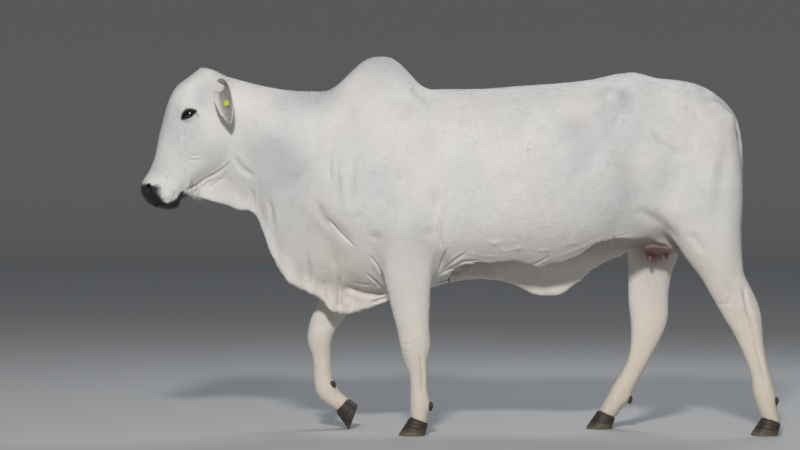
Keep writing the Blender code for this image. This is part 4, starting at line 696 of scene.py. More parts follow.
# The grey over crest, poll, brow, nose bridge and jaw is the coat's own; on the hump, neck, shoulder, flank, hip,
# thigh and cheek it is partly painted shade, darkening them to the tone a low light gives them.
# middle with the distance out, reach each way, how much
GREY_AND_SHADED_PLACES = (
    ((-0.560, 0.00, 1.330), (0.200, 0.12, 0.060), 0.60),       # crest of the neck
    ((-0.300, 0.00, 1.480), (0.160, 0.14, 0.090), 0.75),       # hump
    ((-0.980, 0.06, 1.370), (0.060, 0.08, 0.045), 0.55),       # poll
    ((-1.020, 0.08, 1.320), (0.030, 0.06, 0.030), 0.50),       # above the eye
    ((-1.200, 0.05, 1.060), (0.045, 0.07, 0.040), 0.40),       # bridge of the nose
    ((-1.000, 0.08, 1.020), (0.060, 0.08, 0.035), 0.45),       # jaw
    ((-1.120, 0.08, 1.200), (0.090, 0.08, 0.090), 0.25),       # cheek
    ((-0.700, 0.14, 1.080), (0.140, 0.20, 0.160), 0.45),
    ((-0.300, 0.25, 1.000), (0.140, 0.20, 0.160), 0.26),       # shoulder
    ((0.400, 0.30, 1.050), (0.260, 0.20, 0.200), 0.22),        # flank
    ((0.570, 0.25, 1.230), (0.130, 0.20, 0.120), 0.35),        # hip
    ((0.800, 0.25, 1.050), (0.140, 0.20, 0.200), 0.22),        # thigh
    ((1.060, 0.10, 0.560), (0.060, 0.20, 0.060), 0.35),        # hocks
    ((0.780, 0.10, 0.540), (0.060, 0.20, 0.060), 0.35),
    ((-0.200, 0.10, 0.360), (0.060, 0.20, 0.060), 0.35),       # knees
    ((-0.550, 0.10, 0.370), (0.060, 0.20, 0.060), 0.35),
)
# Bare skin on the udder and under the tail is the hide's own; the two places under the belly and the one between the
# thighs are painted shade, laid on as dark bare skin.
BARE_AND_SHADED_PLACES = (
    ((0.790, 0.00, 0.680), (0.080, 0.06, 0.050), 1.20),        # udder
    ((1.060, 0.00, 1.180), (0.040, 0.045, 0.110), 0.90),       # under the tail
    ((0.050, 0.00, 0.735), (0.250, 0.16, 0.050), 0.60),        # thin hair under the belly, darkened as painted shade
    ((0.430, 0.00, 0.760), (0.250, 0.16, 0.055), 0.60),
    ((0.780, 0.05, 0.730), (0.110, 0.07, 0.060), 0.80),        # between the thighs, darkened as painted shade
)


def soft_step(value, width):
    return 1 / (1 + np.exp(-np.clip(value / width, -30, 30)))


def ripple(points, size, depth):
    """Uneven edges: a sum of three sine waves of different directions, about size long."""
    k = 2 * math.pi / size
    x, y, z = points.T
    waves = np.sin(k * (x + 0.7 * z)) + np.sin(k * (1.3 * y - 0.9 * z + 1)) + np.sin(k * (0.8 * x - 1.7 * y + 2))
    return depth / 3 * waves


def ear_place(points, normals):
    """Along an ear from root to tip, across it as a share of its half width, and how far it faces the cup's way."""
    half = mirrored_points(points)
    away, along = off_line(half, EAR_PATH)
    facing = normals * np.column_stack([np.ones(len(points)), np.sign(points[:, 1]), np.ones(len(points))])
    facing = facing @ np.array(EAR_FACES) / np.linalg.norm(EAR_FACES)
    across = away / np.interp(along, EAR_PLACES, EAR_HALVES)
    return along, np.where(away < EAR_REACH, across, 9.0), facing


def coat_marks(points, normals):
    """Shares of dark skin, grey coat, cream coat and bare skin at each place, as four columns. Part of the grey and
    part of the bare skin are painted shade.
    """
    s, f, _ = in_head(points).T
    edge = np.interp(f, PAD_EDGE_F, PAD_EDGE_S) + ripple(points, 0.021, 0.004)
    mouth_s, mouth_f = np.array(MOUTH_LINE)[::-1].T
    below = f < np.interp(s, mouth_s, mouth_f)
    away, _ = off_line(np.column_stack([s, f]), MOUTH_LINE)
    nose = soft_step(s - edge, 0.0022) * ~below
    lip = soft_step(LIP_DEPTH - away + ripple(points, 0.017, 0.003), 0.0020) * below * soft_step(s - 0.418, 0.003)
    roll = soft_step(0.0035 - away, 0.0010) * (s > 0.415)
    dark = np.maximum(np.maximum(nose, lip), roll) * (points[:, 0] < -1.02)
    for side in (-1, 1):
        u, v, w = in_eye(points, side).T
        outside = -opening(u, v)
        rim = 0.0040 + 0.0036 * soft_step(v - 0.002, 0.003) + 0.0045 * soft_step(np.abs(u) - 0.024, 0.003)
        near = (np.abs(w - 0.01) < 0.03) & (np.hypot(u, v) < 0.06)
        dark = np.maximum(dark, soft_step(rim - outside + ripple(points, 0.009, 0.0008), 0.0009) * near)
        tear = np.exp(-(((u + 0.029) / 0.004) ** 2) - ((v + 0.016) / 0.012) ** 2)
        dark = np.maximum(dark, 0.55 * tear * near)
    half = mirrored_points(points)
    # grey of the coat, and partly painted shade on hump, neck, shoulder, flank, hip, thigh and cheek
    grey = sum(much * bell(half, middle, reach) for middle, reach, much in GREY_AND_SHADED_PLACES)
    grey += ripple(points, 0.31, 0.05)
    z = points[:, 2]
    cream = 0.8 * soft_step(0.50 - z, 0.10) + 0.5 * bell(half, (-0.47, 0, 0.66), (0.22, 0.2, 0.16))
    cream += 0.35 * soft_step(0.78 - z, 0.06) * (points[:, 0] > 0) + ripple(points, 0.43, 0.15)
    # bare skin, and painted shade under the belly and between the thighs
    bare = sum(much * bell(half, middle, reach) for middle, reach, much in BARE_AND_SHADED_PLACES)
    along, across, facing = ear_place(points, normals)
    cup = soft_step(facing - 0.15, 0.08) * soft_step(0.80 - across, 0.07) * soft_step(along - 0.10, 0.03)
    bare = np.maximum(bare, cup)
    return np.clip(np.column_stack([dark, grey * (1 - dark), cream * (1 - dark), bare]), 0, 1)


def set_layer(mesh, name, kind, values):
    """One value, vector or colour for each point of a mesh."""
    layer = mesh.attributes.new(name, kind, "POINT")
    field = {"FLOAT": "value", "FLOAT_VECTOR": "vector", "FLOAT_COLOR": "color"}[kind]
    layer.data.foreach_set(field, np.asarray(values, np.float32).ravel())


def hollowness(points, normals, edges, rounds):
    """How far each place lies below the average of its surroundings, in metres."""
    flat = relaxed(points, edges, rounds, inward=0.5, outward=0.0)
    return ((flat - points) * normals).sum(axis=1)


def running_down(points):
    """1 where the hair runs down, on face, dewlap, legs, tail and ears, and 0 where it runs back."""
    x, z = points[:, 0], points[:, 2]
    leg = soft_step(0.66 - z, 0.05)
    front = soft_step(-0.90 - x, 0.02)
    dewlap = soft_step(0.86 - z, 0.05) * soft_step(-0.36 - x, 0.04)
    rear = soft_step(x - 1.03, 0.02)
    return np.clip(np.maximum.reduce([leg, front, dewlap, rear]), 0, 1)


normals = normals_of(hide.data)
points = points_of(hide.data)
edges = edges_of(hide.data)
set_layer(hide.data, "marks", "FLOAT_COLOR", coat_marks(points, normals))
set_layer(hide.data, "running_down", "FLOAT", running_down(points))
# how hollow or ridged the skin is, at two sizes: it darkens the creases as painted shade, and it shapes the tufts
fold_shade = np.clip(hollowness(points, normals, edges, 5) / 0.0008, -1, 1) * 0.5
fold_shade += np.clip(hollowness(points, normals, edges, 40) / 0.004, -1, 1) * 0.5
set_layer(hide.data, "hollow", "FLOAT", fold_shade)


def linear(code):
    """An sRGB hex colour as linear red, green, blue and alpha."""
    parts = [int(code[i:i + 2], 16) / 255 for i in (1, 3, 5)]
    return tuple(c / 12.92 if c <= 0.04045 else ((c + 0.055) / 1.055) ** 2.4 for c in parts) + (1.0,)


def feed(tree, node, inputs):
    """Sets a node's inputs, each to a value or to the socket that feeds it."""
    for key, value in inputs.items():
        if isinstance(value, bpy.types.NodeSocket):
            tree.links.new(value, node.inputs[key])
        else:
            node.inputs[key].default_value = value


def add(tree, kind, inputs=None, **settings):
    """Adds a node; inputs are values or the sockets that feed them, settings are its properties."""
    made = tree.nodes.new(kind)
    for key, value in settings.items():
        setattr(made, key, value)
    feed(tree, made, inputs or {})
    return made


def layer_of(tree, name, output="Fac"):
    return add(tree, "ShaderNodeAttribute", attribute_name=name).outputs[output]


def noise(tree, place, scale, detail, roughness=0.5):
    inputs = {"Vector": place, "Scale": scale, "Detail": detail, "Roughness": roughness}
    return add(tree, "ShaderNodeTexNoise", inputs).outputs["Fac"]


def stretched(tree, place, scale, detail, roughness=0.5):
    """Noise whose scale differs along x, y and z."""
    mapped = add(tree, "ShaderNodeMapping", {"Vector": place, "Scale": scale})
    return noise(tree, mapped.outputs[0], 1.0, detail, roughness)


def ranged(tree, value, low=0.0, high=1.0, least=0.0, most=1.0):
    """The value carried from low and high to least and most, and held at them beyond."""
    return add(tree, "ShaderNodeMapRange", {0: value, 1: low, 2: high, 3: least, 4: most}).outputs[0]


def mixed(tree, share, one, other):
    """One colour turning into the other as share goes from 0 to 1."""
    tones = [linear(tone) if isinstance(tone, str) else tone for tone in (one, other)]
    return add(tree, "ShaderNodeMix", {0: share, 6: tones[0], 7: tones[1]}, data_type="RGBA").outputs[2]


def product(tree, one, other):
    return add(tree, "ShaderNodeMath", {0: one, 1: other}, operation="MULTIPLY").outputs[0]


def relief_of(tree, height, strength, distance):
    return add(tree, "ShaderNodeBump", {"Strength": strength, "Distance": distance, "Height": height}).outputs[0]


def finish(name):
    """A new material, its node tree and its Principled shader."""
    made = bpy.data.materials.new(name)
    made.use_nodes = True
    return made, made.node_tree, made.node_tree.nodes["Principled BSDF"]


def places(tree):
    """Each place of an object, in the object's own frame."""
    return add(tree, "ShaderNodeTexCoord").outputs["Object"]


def coat_colour(tree, place):
    """The coat's colour, the same on skin and tufts: white hair in soft patches, and the marks over it, with painted
    shade in its creases, under the belly and in part of its grey.
    """
    marks = add(tree, "ShaderNodeAttribute", attribute_name="marks")
    split = add(tree, "ShaderNodeSeparateColor", {"Color": marks.outputs["Color"]})
    patch = ranged(tree, noise(tree, place, 9.0, 4.0, 0.6), 0.35, 0.65)
    # painted shade: creases and folds, found from how hollow the skin lies, are darkened
    depth = ranged(tree, layer_of(tree, "hollow"), 0.10, 1.0, most=0.16)
    height = add(tree, "ShaderNodeSeparateXYZ", {"Vector": place}).outputs["Z"]
    dusty = ranged(tree, height, 0.34, 0.03, most=0.62)
    dust = product(tree, dusty, noise(tree, place, 60.0, 5.0, 0.7))
    # bare skin browner low down: the udder's own colour, and painted shade under the belly and between the thighs
    bare_skin_and_under_shade = mixed(tree, ranged(tree, height, 0.95, 0.75), BARE_SKIN, UDDER_SKIN_AND_UNDER_SHADE)
    colour = WHITE_COAT
    for share, tone in (
        (patch, SHADED_COAT), (split.outputs["Green"], GREY_COAT_AND_SHADE), (split.outputs["Blue"], CREAM_COAT),
        (dust, DUST), (depth, CREASE_SHADE), (marks.outputs["Alpha"], bare_skin_and_under_shade), (split.outputs["Red"], DARK_SKIN),
    ):
        colour = mixed(tree, share, colour, tone)
    return colour, split.outputs["Red"], marks.outputs["Alpha"]


def streaked(tree, place, colour):
    """Relief and colour of short flat hair. Single hairs are too fine to show, so a streak stands for a
    few dozen: 2 mm wide and 16 mm long, along the trunk or down the face and legs."""
    back = stretched(tree, place, (62.0, 520.0, 520.0), 4.0)
    down = stretched(tree, place, (520.0, 520.0, 62.0), 4.0)
    streaks = add(tree, "ShaderNodeMix", {0: layer_of(tree, "running_down"), 2: back, 3: down}).outputs[0]
    lighter = ranged(tree, streaks, 0.3, 0.7, 0.91, 1.05)
    colour = add(tree, "ShaderNodeVectorMath", {0: colour, 3: lighter}, operation="SCALE").outputs[0]
    return colour, relief_of(tree, streaks, 0.6, 0.0010)


# short hair lying flat: dull, softly streaked along its lie, with the wet, pebbled black nose in front
hair_on_skin, tree, shader = finish("short_white_hair_on_black_skin")
place = places(tree)
colour, dark, bare = coat_colour(tree, place)
colour, hair_relief = streaked(tree, place, colour)
# the nose is pebbled in cells about 3.5 mm across
cells = add(tree, "ShaderNodeTexVoronoi", {"Vector": place, "Scale": 290.0}, feature="DISTANCE_TO_EDGE")
pebbles = product(tree, ranged(tree, cells.outputs["Distance"], 0.0, 0.25), dark)
nose_relief = add(tree, "ShaderNodeBump", {
    "Strength": 0.6, "Distance": 0.0009, "Height": pebbles, "Normal": hair_relief})
dull = ranged(tree, dark, least=0.72, most=0.34)
skin_gloss = add(tree, "ShaderNodeMix", {0: bare, 2: dull, 3: 0.52})
feed(tree, shader, {"Base Color": colour, "Normal": nose_relief.outputs[0], "Roughness": skin_gloss.outputs[0]})
shader.inputs["Sheen Weight"].default_value = 0.06
shader.inputs["Sheen Roughness"].default_value = 0.45
shader.inputs["Specular IOR Level"].default_value = 0.40
hide.data.materials.append(hair_on_skin)
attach(hide, "root")
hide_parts(*FLESH)


# The coat: thousands of small tufts of short hair, each a bent, three-sided blade rooted in the
# skin and lying along it. They run from the face back over neck and trunk and down the legs, and
# are shortest on face and feet and longer where the coat breaks the outline.

TUFTS = 104000
TUFTS_PER_PIECE = 18600
TUFT_LENGTH = 0.0130
TUFT_WIDTH = 0.0030
LEG_AXES = (                                     # x at each height, for the coat's unwrap
    (-1, ((-0.158, 0.00), (-0.154, 0.13), (-0.175, 0.40), (-0.160, 0.62))),
    (1, ((-0.463, 0.00), (-0.540, 0.15), (-0.555, 0.33), (-0.440, 0.62))),
    (-1, ((1.234, 0.00), (1.208, 0.15), (1.130, 0.44), (1.030, 0.62))),
    (1, ((0.604, 0.00), (0.660, 0.14), (0.775, 0.44), (0.740, 0.62))),
)
TAIL_LINE = (
    (0.940, 1.352), (1.034, 1.312), (1.098, 1.226), (1.112, 1.160), (1.121, 0.980), (1.122, 0.780), (1.128, 0.560),
)


def eased(value, low, high):
    """0 below low, 1 above high, and 3t^2 - 2t^3 between."""
    t = np.clip((value - low) / (high - low), 0, 1)
    return t * t * (3 - 2 * t)


def on_ear(points):
    away, along = off_line(mirrored_points(points), EAR_PATH)
    return (away < EAR_REACH) & (along > 0.06) & (points[:, 0] > -0.975), along


def on_tail(points):
    away, along = off_line(points[:, [0, 2]], TAIL_LINE)
    return (away < 0.050) & (np.abs(points[:, 1]) < 0.048) & (along > 0.10)


def lie(points, normals):
    """The way the hair points: blended from one direction for each part, then laid on the surface."""
    n = len(points)
    x, y, z = points.T
    s, f, _ = in_head(points).T
    way = np.tile((1.0, 0.0, -0.22), (n, 1))
    way[:, 2] -= 0.9 * eased(0.95 - z, 0, 0.25) * eased(x, 0.35, 0.60)               # flank
    way[:, 2] -= 1.2 * eased(x, 0.70, 1.00) * eased(1.30 - z, 0, 0.3)                # thigh
    way[:, 2] -= 0.5 * eased(-0.30 - x, 0, 0.15)                                     # neck
    way[:, 2] -= 2.5 * eased(0.84 - z, 0, 0.12) * eased(-0.34 - x, 0, 0.1)           # dewlap
    legs = eased(0.70 - z, 0, 0.12) * ((x < 0.06) | (x > 0.52))
    way = way * (1 - legs[:, None]) + np.array((0.12, 0.0, -1.0)) * legs[:, None]
    face = eased(-0.870 - x + 0.02 * np.sin(31 * z + 19 * y), 0, 0.13)[:, None]
    toward_nose = np.tanh((s - 0.085 + 0.015 * np.sin(70 * f + 45 * y)) / 0.05)[:, None]
    over_face = np.array(HEAD_ALONG) * toward_nose + np.array((0.12, 0, 0)) * np.sign(1 - toward_nose)
    way = way * (1 - face) + over_face * face
    rear = on_tail(points)
    way[rear] = (0.15, 0.0, -1.0)
    eared, along = on_ear(points)
    steps = np.diff(np.array(EAR_PATH), axis=0)
    step = steps[np.clip((along * 3).astype(int), 0, 2)] * np.column_stack([np.ones(n), np.sign(y), np.ones(n)])
    way[eared] = unit_rows(step[eared])
    sway = 0.22 * np.sin(9 * x + 7 * z) + 0.16 * np.sin(23 * z - 17 * x + 5 * y)
    way = way / np.maximum(np.linalg.norm(way, axis=1, keepdims=True), 1e-6)
    way = way + np.cross(normals, way) * sway[:, None]
    way -= normals * (way * normals).sum(axis=1, keepdims=True)
    return way / np.maximum(np.linalg.norm(way, axis=1, keepdims=True), 1e-6)


def unwrap(points, normals):
    """Where each place falls on a flat plan of the skin: trunk, head, legs, tail and ears are each
    slit open as a tube and laid in an oblong of their own, with length one way and girth the other."""
    x, y, z = points.T
    s, f, _ = in_head(points).T
    ridge = np.interp(x, (-1.0, -0.6, 0.0, 1.0), (1.20, 1.08, 1.02, 1.08))
    girth = np.arctan2(z - ridge, y) / (2 * math.pi) + 0.5
    plan = np.column_stack([0.02 + 0.96 * (x + 0.98) / 2.20, 0.02 + 0.46 * girth])
    head = (x < -0.90) & (s > 0.0)
    turn = np.arctan2(f + 0.03, y) / (2 * math.pi) + 0.5
    plan[head] = np.column_stack([0.02 + 0.40 * s / 0.56, 0.50 + 0.22 * turn])[head]
    for k, (side, axis) in enumerate(LEG_AXES):
        line = np.array(axis)
        middle = np.interp(z, line[:, 1], line[:, 0])
        leg = (z < 0.60) & (np.sign(y) == side) & (np.abs(x - middle) < 0.12)
        turn = np.arctan2(y - side * 0.15, x - middle) / (2 * math.pi) + 0.5
        plan[leg] = np.column_stack([0.45 + 0.53 * z / 0.60, 0.50 + 0.058 * k + 0.05 * turn])[leg]
    rear = on_tail(points)
    turn = np.arctan2(y, x - 1.11) / (2 * math.pi) + 0.5
    plan[rear] = np.column_stack([0.02 + 0.30 * (1.36 - z) / 0.80, 0.75 + 0.10 * turn])[rear]
    eared, along = on_ear(points)
    _, across, facing = ear_place(points, normals)
    row = 0.76 + 0.055 * ((y > 0) * 2 + (facing > 0))
    plan[eared] = np.column_stack([0.40 + 0.30 * along, row + 0.045 * np.clip(across, 0, 1)])[eared]
    return np.clip(plan, 0.003, 0.997)


def blades(roots, ways, ups, lengths, widths, lift=0.15, curl=0.09, thickness=0.75, turning=0.0):
    """Tapered three-sided blades: the spine is root + way L t + up L (lift t - curl t^2), with three
    corners where t = 0 and t = 0.5, and one at the tip. The last array is their shading: nearly that
    of the skin under them, which turns by turning from root to tip, so that a coat of them looks soft."""
    n = len(roots)
    across = np.cross(ups, ways)
    t = np.array((0.0, 0.5, 1.0))
    lift, curl = np.broadcast_to(lift, n), np.broadcast_to(curl, n)
    rise = lengths[:, None] * (lift[:, None] * t - curl[:, None] * t**2)
    spine = roots[:, None] + ways[:, None] * (lengths[:, None] * t)[..., None] + ups[:, None] * rise[..., None]
    spine[:, 0] -= ups * (widths[:, None] * thickness / 2 + 0.0002)
    rings = []
    for k, taper in ((0, 1.0), (1, 0.85)):
        wide = (widths * taper / 2)[:, None]
        rings += [spine[:, k] + across * wide, spine[:, k] + ups * wide * thickness, spine[:, k] - across * wide]
    points = np.stack(rings + [spine[:, 2]], axis=1)
    lean = ways * np.broadcast_to(turning, n)[:, None]
    soft = [ups + 0.3 * across, ups, ups - 0.3 * across]
    soft += [normal + 0.5 * lean for normal in soft]
    soft = np.stack(soft + [ups + 0.1 * ways + lean], axis=1)
    soft /= np.linalg.norm(soft, axis=2, keepdims=True)
    first = (np.arange(n) * 7)[:, None, None]
    quads = first + np.array([(0, 1, 4, 3), (1, 2, 5, 4), (2, 0, 3, 5)])
    thirds = first + np.array([(3, 4, 6), (4, 5, 6), (5, 3, 6), (0, 2, 1)])
    return points.reshape(-1, 3), [quads.reshape(-1, 4), thirds.reshape(-1, 3)], soft.reshape(-1, 3)


PATCH = 0.003                                    # one tuft's patch on the plan
PATCH_CORNERS = np.array([(-0.5, -0.5), (0.0, -0.5), (0.5, -0.5), (-0.5, 0.2), (0.0, 0.2), (0.5, 0.2), (0.0, 0.5)])


def coat_piece(name, points, faces, soft, plan, marks, hollow, shade, finish_used, slot, patch=PATCH_CORNERS):
    """One piece of coat, with the marks of its roots on every tuft and each tuft's patch on the plan."""
    n = len(patch)
    mesh = mesh_of(name, points, faces)
    made = piece(name, mesh)
    if soft is None:
        mesh.shade_flat()
    else:
        mesh.normals_split_custom_set_from_vertices(soft)
    set_layer(mesh, "marks", "FLOAT_COLOR", np.repeat(marks, n, axis=0))
    set_layer(mesh, "hollow", "FLOAT", np.repeat(hollow, n))
    set_layer(mesh, "shade", "FLOAT", np.repeat(shade, n))
    set_layer(mesh, "running_down", "FLOAT", running_down(np.asarray(points)))
    spots = (plan[:, None] + patch[None] * PATCH).reshape(-1, 2)
    corners = np.concatenate([group.ravel() for group in faces])
    layer = mesh.uv_layers.new(name="OFBake")
    layer.data.foreach_set("uv", spots[corners].astype(np.float32).ravel())
    mesh.materials.append(finish_used)
    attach(made, "root")
    return made


corners = triangles_of(hide.data)
skin_points, skin_normals = points_of(hide.data), normals_of(hide.data)
p0, p1, p2 = (skin_points[corners[:, k]] for k in range(3))
areas = np.linalg.norm(np.cross(p1 - p0, p2 - p0), axis=1) / 2
middles = (p0 + p1 + p2) / 3


def scattered(chance, share, count):
    """Random places on the skin's triangles, each as likely as its share, and their normals."""
    pick = chance.choice(len(corners), count, p=share / share.sum())
    a, b = chance.random((2, count))
    a, b = np.where(a + b > 1, 1 - a, a), np.where(a + b > 1, 1 - b, b)
    blend = np.stack([1 - a - b, a, b], axis=1)[..., None]
    ups = (skin_normals[corners[pick]] * blend).sum(axis=1)
    ups = unit_rows(ups)
    return pick, (skin_points[corners[pick]] * blend).sum(axis=1), ups


def strayed(chance, roots, ups, stray):
    """The lie of the hair at each root, turned on the skin by a random angle."""
    turn = chance.normal(0, stray, len(roots))[:, None]
    ways = lie(roots, ups)
    return ways * np.cos(turn) + np.cross(ups, ways) * np.sin(turn)


skin_marks = coat_marks(middles, skin_normals[corners[:, 0]])
ridge = np.clip(-fold_shade[corners[:, 0]], 0, 1)
on_face = eased(-0.950 - middles[:, 0], 0, 0.04)
crowded = areas * (1 + 1.2 * ridge + 1.6 * on_face + 0.5 * eased(0.30 - middles[:, 2], 0, 0.1))
crowded *= np.clip(1 - skin_marks[:, 0] * 1.6, 0, 1) * np.clip(1 - 0.7 * skin_marks[:, 3], 0, 1)
crowded *= ramp(nostril_place(middles) - 1.9, 0.5)
chance = np.random.default_rng(11)
pick, roots, ups = scattered(chance, crowded, TUFTS)
ways = strayed(chance, roots, ups, 0.20)
face = eased(-0.950 - roots[:, 0], 0, 0.05)
feet = eased(0.32 - roots[:, 2], 0, 0.15)
eared, _ = on_ear(roots)
lengths = TUFT_LENGTH - 0.0060 * np.maximum(face, feet) + 0.0030 * ridge[pick]
lengths = np.where(eared, 0.0075, lengths) * chance.uniform(0.7, 1.25, TUFTS)
beside_eye = np.ones(TUFTS)
for side in (-1, 1):
    u, v, w = in_eye(roots, side).T
    beside_eye = np.minimum(beside_eye, np.where(w > -0.02, np.clip((-opening(u, v) - 0.004) / 0.02, 0.45, 1), 1))
lengths *= beside_eye
widths = TUFT_WIDTH * np.clip(lengths / TUFT_LENGTH, 0.4, 1.1) * chance.uniform(0.8, 1.15, TUFTS)
# how fast the skin turns away under each tuft, in radians a metre: the change of the normals of its
# triangle's corners along the tuft. The tuft bends by as much, and is short beside any sharp edge
e1, e2 = (p1 - p0)[pick], (p2 - p0)[pick]
n0, n1, n2 = (skin_normals[corners[pick, k]] for k in range(3))
e11, e12, e22, w1, w2 = ((u * v).sum(axis=1) for u, v in ((e1, e1), (e1, e2), (e2, e2), (ways, e1), (ways, e2)))
spread = np.maximum(e11 * e22 - e12**2, 1e-18)
change = ((w1 * e22 - w2 * e12) / spread)[:, None] * (n1 - n0) + ((w2 * e11 - w1 * e12) / spread)[:, None] * (n2 - n0)
bends = np.clip((change * ways).sum(axis=1), -30, 140)
sharp = np.maximum(np.linalg.norm(n1 - n0, axis=1) / np.sqrt(e11), np.linalg.norm(n2 - n0, axis=1) / np.sqrt(e22))
lengths = np.minimum(lengths, np.clip(0.7 / np.maximum(sharp, 1), 0.0030, 0.0200))
widths = np.minimum(widths, 0.30 * lengths) * (1 - 0.45 * ridge[pick])
lifts = chance.uniform(0.05, 0.11, TUFTS)
marks = coat_marks(roots, ups)
plans = unwrap(roots, ups)
hollows = fold_shade[corners[pick, 0]]
shades = chance.uniform(0, 1, TUFTS)

# the same hair as on the skin, painted shade included, seen as separate tufts, a little lighter or darker from one to
# the next
hair, tree, shader = finish("tufts_of_short_white_hair")
place = places(tree)
colour, _, _ = coat_colour(tree, place)
lighter = ranged(tree, layer_of(tree, "shade"), least=0.96, most=1.03)
colour = add(tree, "ShaderNodeVectorMath", {0: colour, 3: lighter}, operation="SCALE").outputs[0]
colour, relief = streaked(tree, place, colour)
feed(tree, shader, {"Base Color": colour, "Normal": relief})
shader.inputs["Roughness"].default_value = 0.62
shader.inputs["Sheen Weight"].default_value = 0.10
shader.inputs["Sheen Roughness"].default_value = 0.45
shader.inputs["Specular IOR Level"].default_value = 0.40

order = np.argsort(roots[:, 0], kind="stable")
for k, rows in enumerate(np.array_split(order, math.ceil(TUFTS / TUFTS_PER_PIECE))):
    turned = bends[rows] * lengths[rows]
    curls = lifts[rows] * 0.9 + 0.5 * turned
    shape = blades(roots[rows], ways[rows], ups[rows], lengths[rows], widths[rows], lifts[rows], curls, 0.10, turned)
    coat_piece(f"coat_{k + 1}", *shape, plans[rows], marks[rows], hollows[rows], shades[rows], hair, "hide")


# longer hair, where the coat leaves the outline: ears, poll, chin, edge of the dewlap and belly fold,
# back of the thighs, heels and tail. Where it grows, how many, length, lift and how far it strays
x, y, z = middles.T
head_s, head_f, _ = in_head(middles).T
along, across, facing = ear_place(middles, skin_normals[corners[:, 0]])
downward = skin_normals[corners[:, 0], 2]
LONG_HAIR = (
    ("ear_fringe", (across < 1.3) & (along > 0.12) & (facing > -0.2) & (across > 0.62), 1200, 0.010, 0.10, 0.30),
    ("ear_inside", (across < 0.70) & (along > 0.08) & (along < 0.85) & (facing > 0.2), 700, 0.014, 0.12, 0.25),
    ("poll", (x < -0.90) & (np.abs(y) < 0.06) & (z > 1.365), 700, 0.017, 0.22, 0.60),
    ("chin", (head_s > 0.30) & (head_f < -0.085) & (x < -1.02) & (downward < 0), 520, 0.020, 0.30, 0.35),
    ("dewlap_edge", (x < -0.27) & (x > -0.80) & (downward < -0.55) & (np.abs(y) < 0.07), 900, 0.012, 0.16, 0.40),
    ("belly_fold", (x > -0.10) & (x < 0.62) & (downward < -0.75) & (np.abs(y) < 0.12), 700, 0.009, 0.10, 0.40),
    ("thigh", (x > 0.96) & (z > 0.60) & (z < 1.20) & (skin_normals[corners[:, 0], 0] > 0.5), 900, 0.016, 0.14, 0.40),
    ("heels", (z > 0.085) & (z < 0.21) & (skin_normals[corners[:, 0], 0] > 0.3), 900, 0.013, 0.30, 0.40),
    ("coronets", (z > 0.060) & (z < 0.115), 1300, 0.011, 0.14, 0.30),
    ("crest", (z > 1.30) & (x > -0.86) & (downward > 0.80) & (np.abs(y) < 0.05), 1500, 0.015, 0.12, 0.35),
    ("tail", (x > 1.08) & (z < 1.16) & (np.abs(y) < 0.045) & (z > 0.60), 1800, 0.024, 0.08, 0.20),
)
for k, (where, mask, count, length, lift, stray) in enumerate(LONG_HAIR):
    chance = np.random.default_rng(20 + k)
    _, roots, ups = scattered(chance, np.where(mask, areas, 0), count)
    ways = strayed(chance, roots, ups, stray)
    lengths = length * chance.uniform(0.55, 1.2, count)
    widths = 0.0013 * chance.uniform(0.6, 1.2, count)
    lifts = lift * chance.uniform(0.6, 1.4, count)
    points, faces, _ = blades(roots, ways, ups, lengths, widths, lifts, 0.10, 0.45)
    own_marks = coat_marks(roots, ups)
    own_marks[:, 3] *= 0.6
    coat_piece("coat_" + where, points, faces, None, unwrap(roots, ups), own_marks, np.zeros(count),
               chance.uniform(0, 1, count), hair, "hide")

# stiff dark bristles on the muzzle, lips and chin, thin enough to read as dots and short lines
bristle, tree, shader = finish("stiff_dark_bristle")
place = places(tree)
feed(tree, shader, {"Base Color": mixed(tree, noise(tree, place, 220.0, 2.0), "#1C1917", "#4C443F")})
shader.inputs["Roughness"].default_value = 0.42
beside_mouth = np.abs(y) > 0.02
BRISTLES = (
    ("muzzle", (head_s > 0.425) & (head_s < 0.492) & (head_f > -0.058) & (head_f < 0.004) & beside_mouth,
     150, 0.012, 0.55),
    ("chin", (head_s > 0.36) & (head_f < -0.095) & (x < -1.03) & (downward < 0.1), 170, 0.024, 0.55),
    ("lip", (head_s > 0.44) & (head_f < -0.050) & (head_f > -0.100) & beside_mouth, 60, 0.016, 0.6),
)
for k, (where, mask, count, length, lift) in enumerate(BRISTLES):
    chance = np.random.default_rng(40 + k)
    _, roots, ups = scattered(chance, np.where(mask, areas, 0), count)
    lengths = length * chance.uniform(0.4, 1.2, count)
    ways = lie(roots, ups) + chance.normal(0, 0.25, (count, 3))
    ways = unit_rows(ways)
    points, faces, _ = blades(roots, ways, ups, lengths, 0.0007 * chance.uniform(0.8, 1.2, count), lift, 0.15)
    coat_piece("bristles_" + where, points, faces, None, unwrap(roots, ups), np.tile((1.0, 0, 0, 0), (count, 1)),
               np.zeros(count), np.zeros(count), bristle, "switch_hair")


# The eyes: wet black-brown balls with a wide, lying pupil, deep under their lids, and lashes that
# hang over them from the upper lid.

IRIS_HALF = (0.0215, 0.0195)
PUPIL_HALF = (0.0150, 0.0085)
CORNEA_RISE = 0.0016


def tube(rings):
    """Faces of a grid of rings, rows one after another, with its two ends closed by a fan to a last point each."""
    rows, around = rings.shape[:2]
    i, j = np.meshgrid(np.arange(rows - 1), np.arange(around), indexing="ij")
    k = (j + 1) % around
    quads = np.stack([i * around + j, i * around + k, (i + 1) * around + k, (i + 1) * around + j], -1).reshape(-1, 4)
    points = np.concatenate([rings.reshape(-1, 3), [rings[0].mean(axis=0), rings[-1].mean(axis=0)]])
    j, k = np.arange(around), (np.arange(around) + 1) % around
    low = np.stack([k, j, np.full(around, rows * around)], -1)
    high = np.stack([j + (rows - 1) * around, k + (rows - 1) * around, np.full(around, rows * around + 1)], -1)
    return points, [quads, np.concatenate([low, high])]


